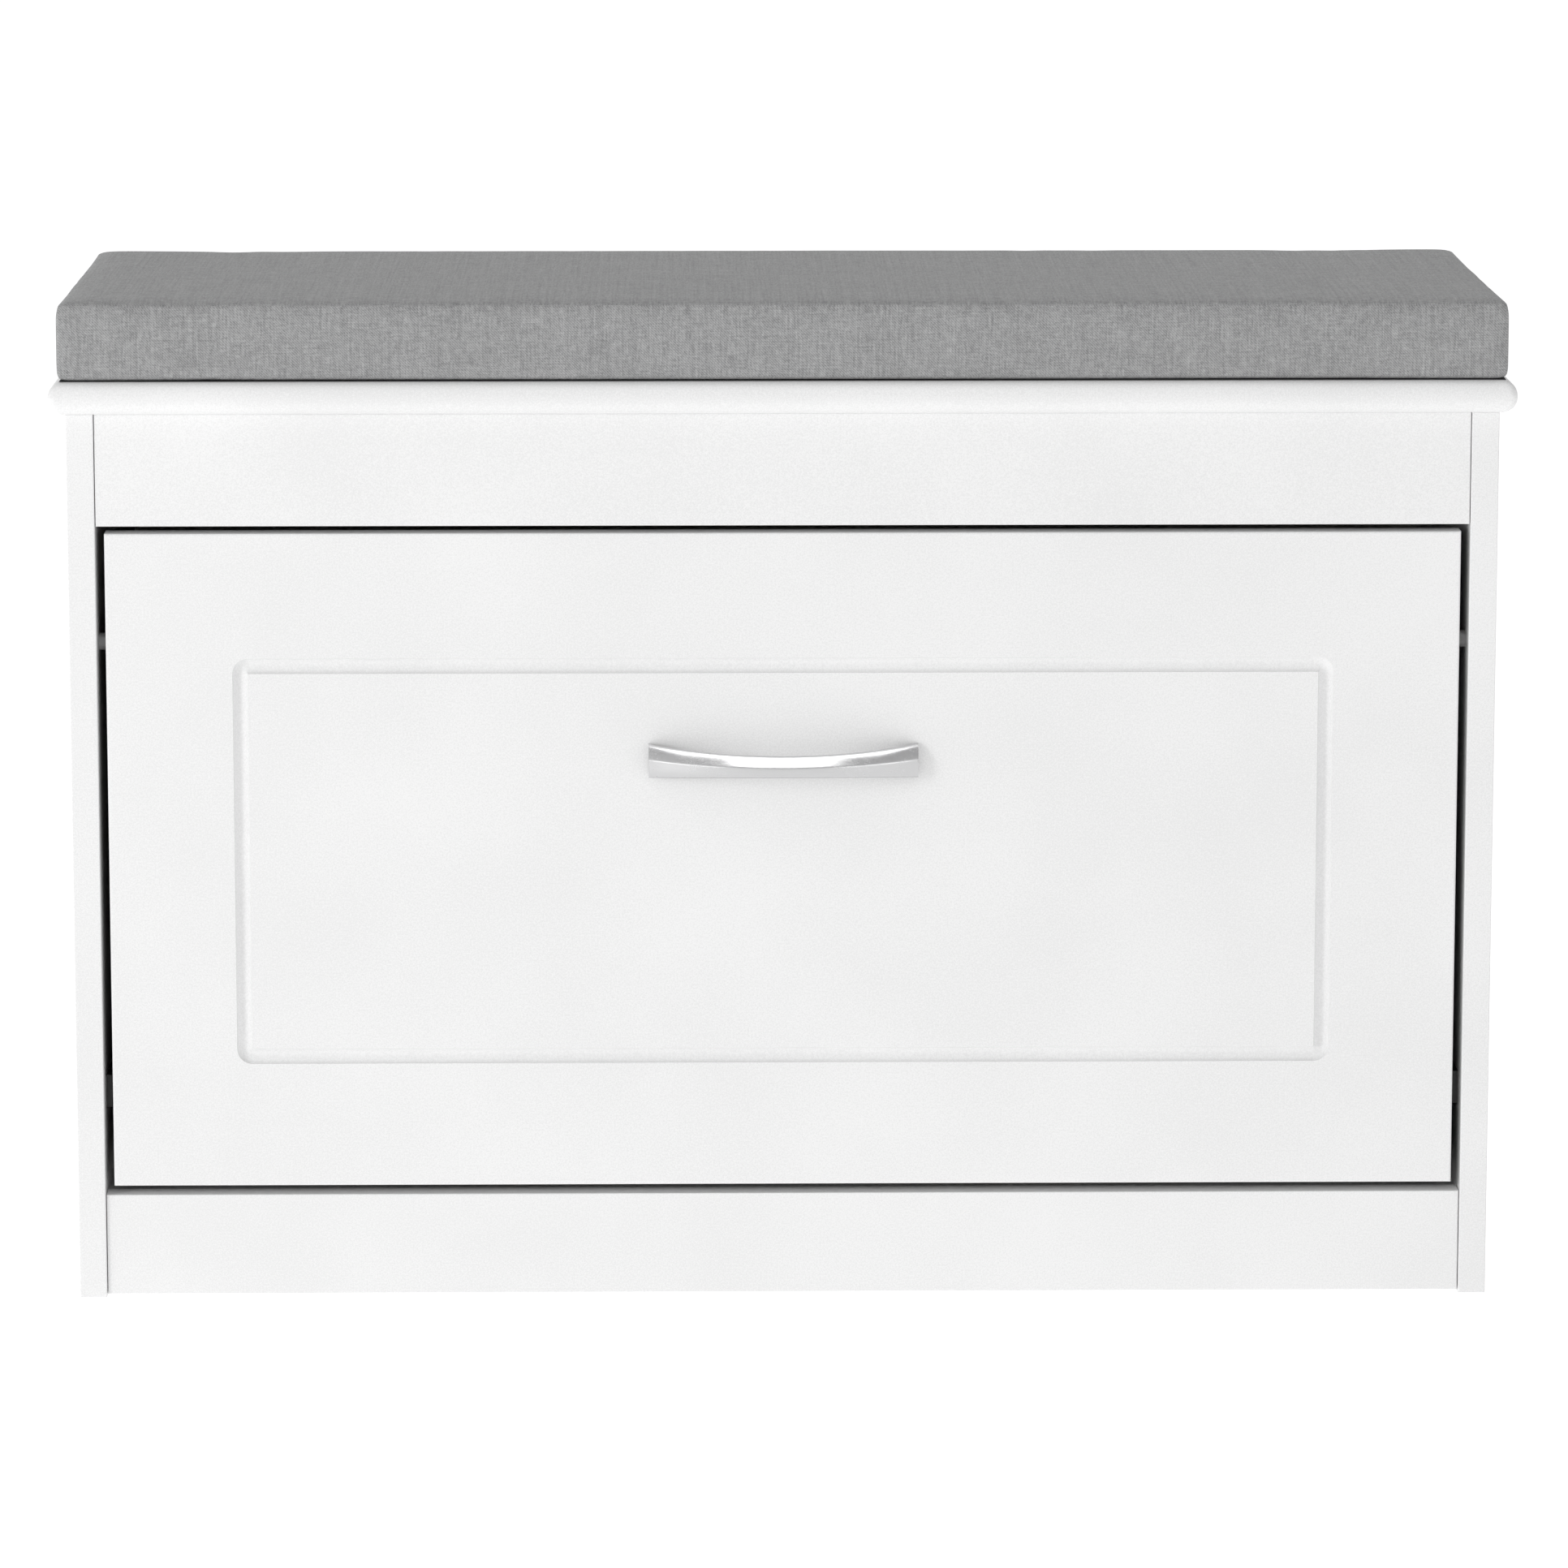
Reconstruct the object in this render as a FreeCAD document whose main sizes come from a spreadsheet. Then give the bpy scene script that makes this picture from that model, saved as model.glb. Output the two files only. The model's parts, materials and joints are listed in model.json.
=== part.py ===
import FreeCAD, Part
import os
import Sketcher
from FreeCAD import Placement, Rotation, Vector

# Entryway shoe bench: a white board carcass with one tilt-out shoe drawer and a seat cushion.
# Bench frame, in millimetres: X to the right, Y to the back, Z up.  The origin is on the floor
# under the middle of the whole bench, handle included.  Every sub-part is drawn in place in
# this frame, so that a hole and its fastener share one expression.

DRIVING_DIMENSIONS = {
    "top_width": 800,
    "top_thickness": 18,
    "top_overhang": 9,
    "top_corner": 4,
    "nose_radius": 8.28,
    "board": 15,
    "carcass_depth": 291,
    "side_height": 494,
    "glide_height": 2,
    "back_sheet": 3,
    "fascia_height": 61.8,
    "fascia_setback": 0.8,
    "joint_gap": 0.4,
    "rail_height": 60,
    "plinth_height": 56.5,
    "plinth_lift": 1.5,
    "plinth_setback": 2,
    "floor_drop": 2,
    "door_side_gap": 5,
    "door_top_gap": 4,
    "door_bottom_gap": 5.5,
    "groove_inset": 69,
    "groove_width": 8.5,
    "groove_depth": 3.6,
    "handle_length": 148,
    "handle_centres": 128,
    "handle_projection": 27,
    "handle_drop": 125.6,
    "pivot_back": 23,
    "pivot_rise": 50,
    "shelf_drop": 38,
    "pin_reach": 252.5,
    "pin_radius": 4.7,
    "slot_clearance": 0.3,
    "tilt_angle": 45,
    "fan_radius": 268,
    "plate": 2.5,
    "rib": 3,
    "ledge": 14,
    "shelf": 9,
    "lower_shelf_depth": 240,
    "upper_shelf_depth": 134,
    "upper_shelf_rise": 120,
    "lower_stop_height": 90,
    "upper_stop_height": 66,
    "cushion_width": 795,
    "cushion_depth": 294,
    "cushion_height": 44,
    "cover": 1,
    "cover_round": 6,
    "foam_clearance": 1.2,
    "fitting_drop": 14,
    "fitting_rise": 12,
    "floor_fitting_inset": 60,
    "side_fitting_inset": 50,
    "cam_radius": 7.5,
    "cam_depth": 12.5,
    "cam_distance": 24,
    "bolt_radius": 3,
    "bolt_bite": 10,
    "dowel_radius": 4,
    "dowel_length": 30,
    "fit": 0.05,
}

doc = FreeCAD.newDocument("ShoeBench")
sheet = doc.addObject("Spreadsheet::Sheet", "Sizes")
for row, (alias, number) in enumerate(DRIVING_DIMENSIONS.items(), start=1):
    sheet.set(f"A{row}", alias)
    sheet.set(f"B{row}", str(number))
    sheet.setAlias(f"B{row}", alias)
doc.recompute()


def add(*terms):
    """The sum of expression terms, as one expression."""
    return "(" + " + ".join(str(term) for term in terms) + ")"


def less(first, *terms):
    """The first term less the others, as one expression."""
    return "(" + " - ".join(str(term) for term in (first, *terms)) + ")"


def half(term):
    return f"({term} / 2)"


def neg(term):
    return f"(0 - {term})"


def value(expression):
    """An expression's present number."""
    return float(sheet.evalExpression(str(expression)))


class Cell:
    """Short names for the sheet's cells: S.board is the expression Sizes.board."""

    def __getattr__(self, alias):
        return "Sizes." + alias


S = Cell()

# Derived places, as expressions of the driving dimensions.
FRONT = "((Sizes.handle_projection - Sizes.carcass_depth) / 2)"
REAR = add(FRONT, S.carcass_depth)
SHEET_FRONT = less(REAR, S.back_sheet)
OUTER_X = less(half(S.top_width), S.top_overhang)
INNER_X = less(OUTER_X, S.board)
TOP_UNDER = add(S.glide_height, S.side_height)
TOP_UPPER = add(TOP_UNDER, S.top_thickness)
FASCIA_FRONT = add(FRONT, S.fascia_setback)
FASCIA_UNDER = less(TOP_UNDER, S.fascia_height)
PLINTH_FRONT = add(FRONT, S.plinth_setback)
PLINTH_UNDER = add(S.glide_height, S.plinth_lift)
PLINTH_UPPER = add(PLINTH_UNDER, S.plinth_height)
FLOOR_UPPER = less(PLINTH_UPPER, S.floor_drop)
DOOR_X = less(INNER_X, S.door_side_gap)
DOOR_LOW = add(PLINTH_UPPER, S.door_bottom_gap)
DOOR_HIGH = less(FASCIA_UNDER, S.door_top_gap)
DOOR_BACK = add(FRONT, S.board)
HANDLE_Z = less(DOOR_HIGH, S.handle_drop)
PIVOT_Y = add(FRONT, S.pivot_back)
PIVOT_Z = add(DOOR_LOW, S.pivot_rise)
LIMIT_PIN_Y = add(DOOR_BACK, S.slot_clearance, S.pin_radius)
LIMIT_PIN_Z = add(PIVOT_Z, S.pin_reach)
PLATE_OUT = less(DOOR_X, 1)
PLATE_IN = less(PLATE_OUT, S.plate)
SHELF_Z = less(PIVOT_Z, S.shelf_drop)
UPPER_SHELF_Z = add(PIVOT_Z, S.upper_shelf_rise)
LOWER_STOP_REAR = add(PIVOT_Y, S.lower_shelf_depth)
UPPER_STOP_REAR = add(PIVOT_Y, S.upper_shelf_depth)

# How each origin plane lies: the frame axes its sketch runs along, and its normal's sign.
PLANES = {"x": ("YZ_Plane", 1), "y": ("XZ_Plane", -1), "z": ("XY_Plane", 1)}


def new_body(label):
    body = doc.addObject("PartDesign::Body", label)
    body.Label = label
    body.Placement = Placement()
    return body


def new_sketch(body, axis, level, name):
    """A sketch of the body square to an axis, at a level along it."""
    role, sign = PLANES[axis]
    origin_plane = [f for f in body.Origin.OriginFeatures if f.Role == role][0]
    sketch = body.newObject("Sketcher::SketchObject", name)
    sketch.AttachmentSupport = [(origin_plane, "")]
    sketch.MapMode = "FlatFace"
    sketch.setExpression("AttachmentOffset.Base.z", level if sign > 0 else neg(level))
    return sketch


def hold(sketch, kind, geometry, point, expression):
    """Dimension a sketch point from the sketch's origin."""
    number = sketch.addConstraint(
        Sketcher.Constraint(kind, -1, 1, geometry, point, value(expression))
    )
    sketch.setExpression(f"Constraints[{number}]", str(expression))


def hold_radius(sketch, geometry, expression):
    number = sketch.addConstraint(Sketcher.Constraint("Radius", geometry, value(expression)))
    sketch.setExpression(f"Constraints[{number}]", str(expression))


def draw_polygon(sketch, corners):
    """A closed outline of straight lines through dimensioned corners."""
    points = [Vector(value(u), value(v), 0) for u, v in corners]
    count = len(points)
    lines = [
        sketch.addGeometry(Part.LineSegment(points[i], points[(i + 1) % count]), False)
        for i in range(count)
    ]
    for i in range(count):
        sketch.addConstraint(
            Sketcher.Constraint("Coincident", lines[i], 2, lines[(i + 1) % count], 1)
        )
    for line, (u, v) in zip(lines, corners):
        hold(sketch, "DistanceX", line, 1, u)
        hold(sketch, "DistanceY", line, 1, v)


def draw_rectangle(sketch, u_low, u_high, v_low, v_high):
    draw_polygon(sketch, [(u_low, v_low), (u_high, v_low), (u_high, v_high), (u_low, v_high)])


def draw_circle(sketch, u, v, radius):
    circle = sketch.addGeometry(
        Part.Circle(Vector(value(u), value(v), 0), Vector(0, 0, 1), value(radius)), False
    )
    hold(sketch, "DistanceX", circle, 3, u)
    hold(sketch, "DistanceY", circle, 3, v)
    hold_radius(sketch, circle, radius)


def start_level(axis, low, high):
    """Where a cut begins: a pocket runs against its sketch's normal."""
    return high if PLANES[axis][1] > 0 else low


def check_cut(body, before, label):
    if not body.Shape.Volume < before - 1e-3:
        raise RuntimeError(f"{body.Label}: {label} removed nothing")


def pad_box(body, name, x, y, z):
    """Add a block between (low, high) expressions along each axis."""
    sketch = new_sketch(body, "z", z[0], name + "_outline")
    draw_rectangle(sketch, x[0], x[1], y[0], y[1])
    pad = body.newObject("PartDesign::Pad", name)
    pad.Profile = sketch
    pad.setExpression("Length", less(z[1], z[0]))
    doc.recompute()
    return pad


def drill(body, name, axis, low, high, centres, radius):
    """Cut round holes along an axis, from low to high, at (u, v) centres on the cross plane."""
    before = body.Shape.Volume
    sketch = new_sketch(body, axis, start_level(axis, low, high), name + "_centres")
    for u, v in centres:
        draw_circle(sketch, u, v, radius)
    pocket = body.newObject("PartDesign::Pocket", name)
    pocket.Profile = sketch
    pocket.setExpression("Length", less(high, low))
    doc.recompute()
    check_cut(body, before, name)


def cut_box(body, name, x, y, z):
    """Cut a block out, between (low, high) expressions along each axis."""
    before = body.Shape.Volume
    sketch = new_sketch(body, "z", z[1], name + "_outline")
    draw_rectangle(sketch, x[0], x[1], y[0], y[1])
    pocket = body.newObject("PartDesign::Pocket", name)
    pocket.Profile = sketch
    pocket.setExpression("Length", less(z[1], z[0]))
    doc.recompute()
    check_cut(body, before, name)


def edges_where(shape, test):
    return [f"Edge{i + 1}" for i, edge in enumerate(shape.Edges) if test(edge)]


def round_edges(body, name, kind, size, test):
    """A Fillet or Chamfer of the edges that a test picks."""
    base = body.Tip
    dress = body.newObject("PartDesign::" + kind, name)
    dress.Base = (base, edges_where(base.Shape, test))
    dress.setExpression("Radius" if kind == "Fillet" else "Size", str(size))
    doc.recompute()


def is_level(edge, axis, level, tolerance=0.01):
    """Whether an edge lies wholly at one level of an axis."""
    box = edge.BoundBox
    low = getattr(box, axis.upper() + "Min")
    high = getattr(box, axis.upper() + "Max")
    return abs(low - level) < tolerance and abs(high - level) < tolerance


def board(label, x, y, z, edge_ease=0.6):
    """A board with eased front edges."""
    body = new_body(label)
    pad_box(body, "panel", x, y, z)
    front = value(y[0])
    round_edges(body, "eased_front", "Fillet", edge_ease, lambda e: is_level(e, "y", front))
    return body


# Knock-down joints.  Each is (edge board, face board, contact point, axis and sign of the
# bolt into the face board, axis and sign that the cam's mouth faces).  At every joint a cam
# bolt and a wooden dowel stand side by side.
LEFT_FACE = neg(INNER_X)
RIGHT_FACE = INNER_X
DOWEL_STEP = 32
JOINTS = []


def end_joints(board_name, y, z, mouth, dowel_axis):
    """The same joint at a cross board's left and right ends."""
    for face, point, sign in (("left_side_panel", LEFT_FACE, -1), ("right_side_panel", RIGHT_FACE, 1)):
        JOINTS.append(
            {
                "edge": board_name,
                "face": face,
                "at": {"x": point, "y": y, "z": z},
                "bolt": ("x", sign),
                "mouth": mouth,
                "dowel": dowel_axis,
            }
        )


def collect_joints():
    fascia_mid_y = add(FASCIA_FRONT, half(S.board))
    plinth_mid_y = add(PLINTH_FRONT, half(S.board))
    rail_mid_y = less(SHEET_FRONT, half(S.board))
    floor_mid_z = less(FLOOR_UPPER, half(S.board))
    end_joints("fascia_rail", fascia_mid_y, less(TOP_UNDER, S.fitting_drop), ("y", 1), ("z", -1))
    end_joints("plinth_board", plinth_mid_y, add(PLINTH_UNDER, S.fitting_rise), ("y", 1), ("z", 1))
    end_joints("rear_top_rail", rail_mid_y, less(TOP_UNDER, S.fitting_drop), ("y", -1), ("z", -1))
    end_joints("floor_panel", add(FRONT, S.floor_fitting_inset), floor_mid_z, ("z", -1), ("y", 1))
    end_joints("floor_panel", less(REAR, S.floor_fitting_inset), floor_mid_z, ("z", -1), ("y", -1))
    side_mid = less(OUTER_X, half(S.board))
    for name, x, inward in (("left_side_panel", neg(side_mid), 1), ("right_side_panel", side_mid, -1)):
        for y, step in ((add(FRONT, S.side_fitting_inset), 1), (less(REAR, S.side_fitting_inset), -1)):
            JOINTS.append(
                {
                    "edge": name,
                    "face": "top_panel",
                    "at": {"x": x, "y": y, "z": TOP_UNDER},
                    "bolt": ("z", 1),
                    "mouth": ("x", inward),
                    "dowel": ("y", step),
                }
            )


def cross(axis, at):
    """A point's (u, v) on the sketch plane square to an axis."""
    u, v = {"x": ("y", "z"), "y": ("x", "z"), "z": ("x", "y")}[axis]
    return at[u], at[v]


def along(level, sign, distance):
    return add(level, distance) if sign > 0 else less(level, distance)


def ordered(first, second):
    return (first, second) if value(first) < value(second) else (second, first)


def dowel_place(joint):
    axis, sign = joint["dowel"]
    at = dict(joint["at"])
    at[axis] = along(at[axis], sign, DOWEL_STEP)
    return at


def cam_place(joint):
    """The cam's centre on the bolt's line, and the (low, high) stretch that its disc fills."""
    axis, sign = joint["bolt"]
    mouth, mouth_sign = joint["mouth"]
    at = dict(joint["at"])
    at[axis] = along(at[axis], -sign, S.cam_distance)
    mouth_face = along(at[mouth], mouth_sign, half(S.board))
    inside = along(mouth_face, -mouth_sign, S.cam_depth)
    return at, ordered(mouth_face, inside)


def bore_joints(body):
    """Drill a board for every knock-down joint that it takes part in."""
    for number, joint in enumerate(JOINTS):
        axis, sign = joint["bolt"]
        at = joint["at"]
        dowel_at = dowel_place(joint)
        if joint["face"] == body.Label:
            deep = along(at[axis], sign, S.bolt_bite)
            low, high = ordered(at[axis], deep)
            drill(body, f"bolt_hole_{number}", axis, low, high, [cross(axis, at)], BOLT_HOLE)
            drill(body, f"dowel_hole_{number}", axis, low, high, [cross(axis, dowel_at)], DOWEL_HOLE)
        if joint["edge"] == body.Label:
            cam_at, (cam_low, cam_high) = cam_place(joint)
            low, high = ordered(at[axis], along(at[axis], -sign, S.cam_distance))
            drill(body, f"bolt_hole_{number}", axis, low, high, [cross(axis, at)], BOLT_HOLE)
            deep = along(at[axis], -sign, less(S.dowel_length, S.bolt_bite))
            low, high = ordered(at[axis], deep)
            drill(body, f"dowel_hole_{number}", axis, low, high, [cross(axis, dowel_at)], DOWEL_HOLE)
            mouth = joint["mouth"][0]
            drill(body, f"cam_hole_{number}", mouth, cam_low, cam_high, [cross(mouth, cam_at)], CAM_HOLE)


BOLT_HOLE = add(S.bolt_radius, S.fit)
DOWEL_HOLE = add(S.dowel_radius, S.fit)
CAM_HOLE = add(S.cam_radius, S.fit)

AXIS_TURN = {
    "x": Rotation(Vector(0, 1, 0), 90),
    "y": Rotation(Vector(1, 0, 0), -90),
    "z": Rotation(),
}


def rod(name, axis, at, low, high, radius):
    """A Part cylinder along an axis from low to high, bound to the sheet."""
    cylinder = doc.addObject("Part::Cylinder", name)
    cylinder.Placement = Placement(Vector(), AXIS_TURN[axis])
    cylinder.setExpression("Radius", str(radius))
    cylinder.setExpression("Height", less(high, low))
    for letter in "xyz":
        cylinder.setExpression(f"Placement.Base.{letter}", low if letter == axis else str(at[letter]))
    return cylinder


def fuse(name, pieces):
    union = doc.addObject("Part::MultiFuse", name)
    union.Shapes = pieces
    return union


def cut(name, base, tool):
    difference = doc.addObject("Part::Cut", name)
    difference.Base = base
    difference.Tool = tool
    return difference


def group(label, pieces):
    """Identical fasteners kept as separate solids under one label."""
    compound = doc.addObject("Part::Compound", label)
    compound.Links = pieces
    compound.Label = label
    compound.Placement = Placement()
    return compound


def make_side(label, sign):
    x = span_x(sign, INNER_X, OUTER_X)
    body = board(label, x, (FRONT, SHEET_FRONT), (S.glide_height, TOP_UNDER))
    bore_joints(body)
    inner = INNER_X if sign > 0 else neg(INNER_X)
    bite = along(inner, sign, SPIGOT_LENGTH)
    low, high = ordered(inner, bite)
    pin_centre = (LIMIT_PIN_Y, LIMIT_PIN_Z)
    drill(body, "limit_pin_hole", "x", low, high, [pin_centre], add(SPIGOT_RADIUS, S.fit))
    drill(body, "pivot_screw_holes", "x", low, high, pivot_screw_centres(), SCREW_HOLE)
    return body


SPIGOT_LENGTH = 10
SPIGOT_RADIUS = 2.5
SCREW_RADIUS = 1.75
SCREW_HEAD_RADIUS = 3.4
SCREW_HEAD = 2
SCREW_HOLE = add(SCREW_RADIUS, S.fit)
SCREW_HEAD_HOLE = add(SCREW_HEAD_RADIUS, S.fit)


def pivot_screw_centres():
    spacing = PIVOT_SCREW_SPACING
    return [(add(PIVOT_Y, spacing), PIVOT_Z), (add(PIVOT_Y, 2 * spacing), PIVOT_Z)]


def make_top():
    """The top board, with a half-round nose at the front and both ends."""
    body = new_body("top_panel")
    ends = (neg(half(S.top_width)), half(S.top_width))
    pad_box(body, "panel", ends, (less(FRONT, S.top_overhang), REAR), (TOP_UNDER, TOP_UPPER))
    x_limit = value(half(S.top_width))
    y_limit = value(less(FRONT, S.top_overhang))
    round_edges(
        body, "front_corners", "Fillet", S.top_corner,
        lambda e: is_level(e, "y", y_limit) and abs(abs(e.BoundBox.Center.x) - x_limit) < 0.01,
    )
    rear = value(REAR)
    levels = (value(TOP_UNDER), value(TOP_UPPER))

    def on_nose(edge):
        flat = any(is_level(edge, "z", level) for level in levels)
        return flat and not is_level(edge, "y", rear)

    round_edges(body, "nose", "Fillet", S.nose_radius, on_nose)
    bore_joints(body)
    return body


def make_cross_boards():
    """The boards between the side panels; the two seen in front have a fine gap at their ends."""
    inside = (LEFT_FACE, RIGHT_FACE)
    seen = (add(LEFT_FACE, S.joint_gap), less(RIGHT_FACE, S.joint_gap))
    fascia_back = add(FASCIA_FRONT, S.board)
    fascia = board("fascia_rail", seen, (FASCIA_FRONT, fascia_back), (FASCIA_UNDER, TOP_UNDER))
    plinth_back = add(PLINTH_FRONT, S.board)
    plinth = board("plinth_board", seen, (PLINTH_FRONT, plinth_back), (PLINTH_UNDER, PLINTH_UPPER))
    rail_front = less(SHEET_FRONT, S.board)
    rail_under = less(TOP_UNDER, S.rail_height)
    rail = board("rear_top_rail", inside, (rail_front, SHEET_FRONT), (rail_under, TOP_UNDER))
    floor_under = less(FLOOR_UPPER, S.board)
    floor = board("floor_panel", inside, (plinth_back, SHEET_FRONT), (floor_under, FLOOR_UPPER))
    for body in (fascia, plinth, rail, floor):
        bore_joints(body)
    return [fascia, plinth, rail, floor]


NAIL_RADIUS = 0.7
NAIL_LENGTH = 16
NAIL_HEAD = 0.8
NAIL_HEAD_RADIUS = 1.8
NAIL_END_INSET = 30
NAILS_PER_SIDE = 5
NAIL_SPREAD_X = 240
BACK_INSET = 2
BACK_LIFT = 6


def nail_places():
    """Nails down both side panels and along the floor and the rear rail."""
    side_mid = less(OUTER_X, half(S.board))
    places = []
    for x in (neg(side_mid), side_mid):
        for step in range(NAILS_PER_SIDE):
            run = f"(Sizes.side_height - {2 * NAIL_END_INSET}) * {step / (NAILS_PER_SIDE - 1)}"
            places.append((x, add(S.glide_height, NAIL_END_INSET, run)))
    for x in (-NAIL_SPREAD_X, 0, NAIL_SPREAD_X):
        places.append((x, less(FLOOR_UPPER, half(S.board))))
        places.append((x, less(TOP_UNDER, half(S.rail_height))))
    return places


def make_back():
    """The thin back sheet, nailed to the carcass's rear edges."""
    body = new_body("back_panel")
    reach = less(OUTER_X, BACK_INSET)
    under = add(S.glide_height, BACK_LIFT)
    pad_box(body, "sheet", (neg(reach), reach), (SHEET_FRONT, REAR), (under, TOP_UNDER))
    head_front = less(REAR, NAIL_HEAD)
    drill(body, "nail_holes", "y", SHEET_FRONT, REAR, nail_places(), add(NAIL_RADIUS, S.fit))
    drill(body, "head_sinks", "y", head_front, REAR, nail_places(), add(NAIL_HEAD_RADIUS, S.fit))
    nails = []
    for number, (x, z) in enumerate(nail_places()):
        at = {"x": x, "y": 0, "z": z}
        shank = rod(f"nail_shank_{number}", "y", at, less(REAR, NAIL_LENGTH), head_front, NAIL_RADIUS)
        head = rod(f"nail_head_{number}", "y", at, head_front, REAR, NAIL_HEAD_RADIUS)
        nails.append(fuse(f"nail_{number}", [shank, head]))
    return [body, group("back_panel_nails", nails)]


def bore_nails(bodies):
    """Nail holes in the boards' rear edges."""
    by_label = {body.Label: body for body in bodies}
    deep = (less(REAR, NAIL_LENGTH), SHEET_FRONT)
    places = nail_places()
    owners = {
        "left_side_panel": places[:NAILS_PER_SIDE],
        "right_side_panel": places[NAILS_PER_SIDE:2 * NAILS_PER_SIDE],
        "floor_panel": places[2 * NAILS_PER_SIDE::2],
        "rear_top_rail": places[2 * NAILS_PER_SIDE + 1::2],
    }
    for label, centres in owners.items():
        drill(by_label[label], "nail_holes", "y", deep[0], deep[1], centres, add(NAIL_RADIUS, S.fit))


GLIDE_RADIUS = 7
GLIDE_NAIL_RADIUS = 1
GLIDE_NAIL_LENGTH = 14
GLIDE_INSET = 22


def glide_places():
    side_mid = less(OUTER_X, half(S.board))
    ends = (add(FRONT, GLIDE_INSET), less(REAR, GLIDE_INSET))
    return [(x, y) for x in (neg(side_mid), side_mid) for y in ends]


def make_glides(sides):
    """Nail-on plastic glides under the side panels."""
    glides = []
    for number, (x, y) in enumerate(glide_places()):
        at = {"x": x, "y": y, "z": 0}
        disc = rod(f"glide_disc_{number}", "z", at, "0", S.glide_height, GLIDE_RADIUS)
        spike = rod(
            f"glide_spike_{number}", "z", at, S.glide_height,
            add(S.glide_height, GLIDE_NAIL_LENGTH), GLIDE_NAIL_RADIUS,
        )
        glides.append(fuse(f"glide_{number}", [disc, spike]))
    for body, centres in zip(sides, (glide_places()[:2], glide_places()[2:])):
        top = add(S.glide_height, GLIDE_NAIL_LENGTH)
        drill(body, "glide_holes", "z", S.glide_height, top, centres, add(GLIDE_NAIL_RADIUS, S.fit))
    return group("floor_glides", glides)


CAM_CHANNEL_REACH = 9
CAM_CHANNEL_RADIUS = 3.4


def make_knock_down_fittings():
    """Cam locks, cam bolts and dowels, one of each for every joint."""
    cams = []
    bolts = []
    dowels = []
    for number, joint in enumerate(JOINTS):
        axis, sign = joint["bolt"]
        at = joint["at"]
        cam_at, (cam_low, cam_high) = cam_place(joint)
        disc = rod(f"cam_disc_{number}", joint["mouth"][0], cam_at, cam_low, cam_high, S.cam_radius)
        channel_low, channel_high = ordered(cam_at[axis], along(cam_at[axis], sign, CAM_CHANNEL_REACH))
        channel = rod(f"cam_channel_{number}", axis, at, channel_low, channel_high, CAM_CHANNEL_RADIUS)
        cams.append(cut(f"cam_{number}", disc, channel))
        tip, end = ordered(cam_at[axis], along(at[axis], sign, S.bolt_bite))
        bolts.append(rod(f"cam_bolt_{number}", axis, at, tip, end, S.bolt_radius))
        dowel_at = dowel_place(joint)
        deep = along(at[axis], sign, S.bolt_bite)
        back = along(deep, -sign, S.dowel_length)
        low, high = ordered(deep, back)
        dowels.append(rod(f"dowel_{number}", axis, dowel_at, low, high, S.dowel_radius))
    return [group("cam_locks", cams), group("cam_bolts", bolts), group("wooden_dowels", dowels)]


PIVOT_BASE = 3
PIVOT_BASE_FRONT = 4.5
PIVOT_BASE_REAR = 48
PIVOT_BASE_HALF_HEIGHT = 9
PIVOT_BASE_CORNER = 4
PIVOT_SCREW_SPACING = 20
PIVOT_PIN_RADIUS = 4
BUSH_RADIUS = 6
BUSH_FLANGE = 1
BUSH_FLANGE_RADIUS = 7.5
HUB_RADIUS = 11
HUB_REACH = 8
RUNNING_FIT = 0.05
PIN_TIP = 2.5


def mirrored(sign, level):
    return level if sign > 0 else neg(level)


def span_x(sign, near, far):
    """A (low, high) stretch along X on one side of the bench."""
    return ordered(mirrored(sign, near), mirrored(sign, far))


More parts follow.
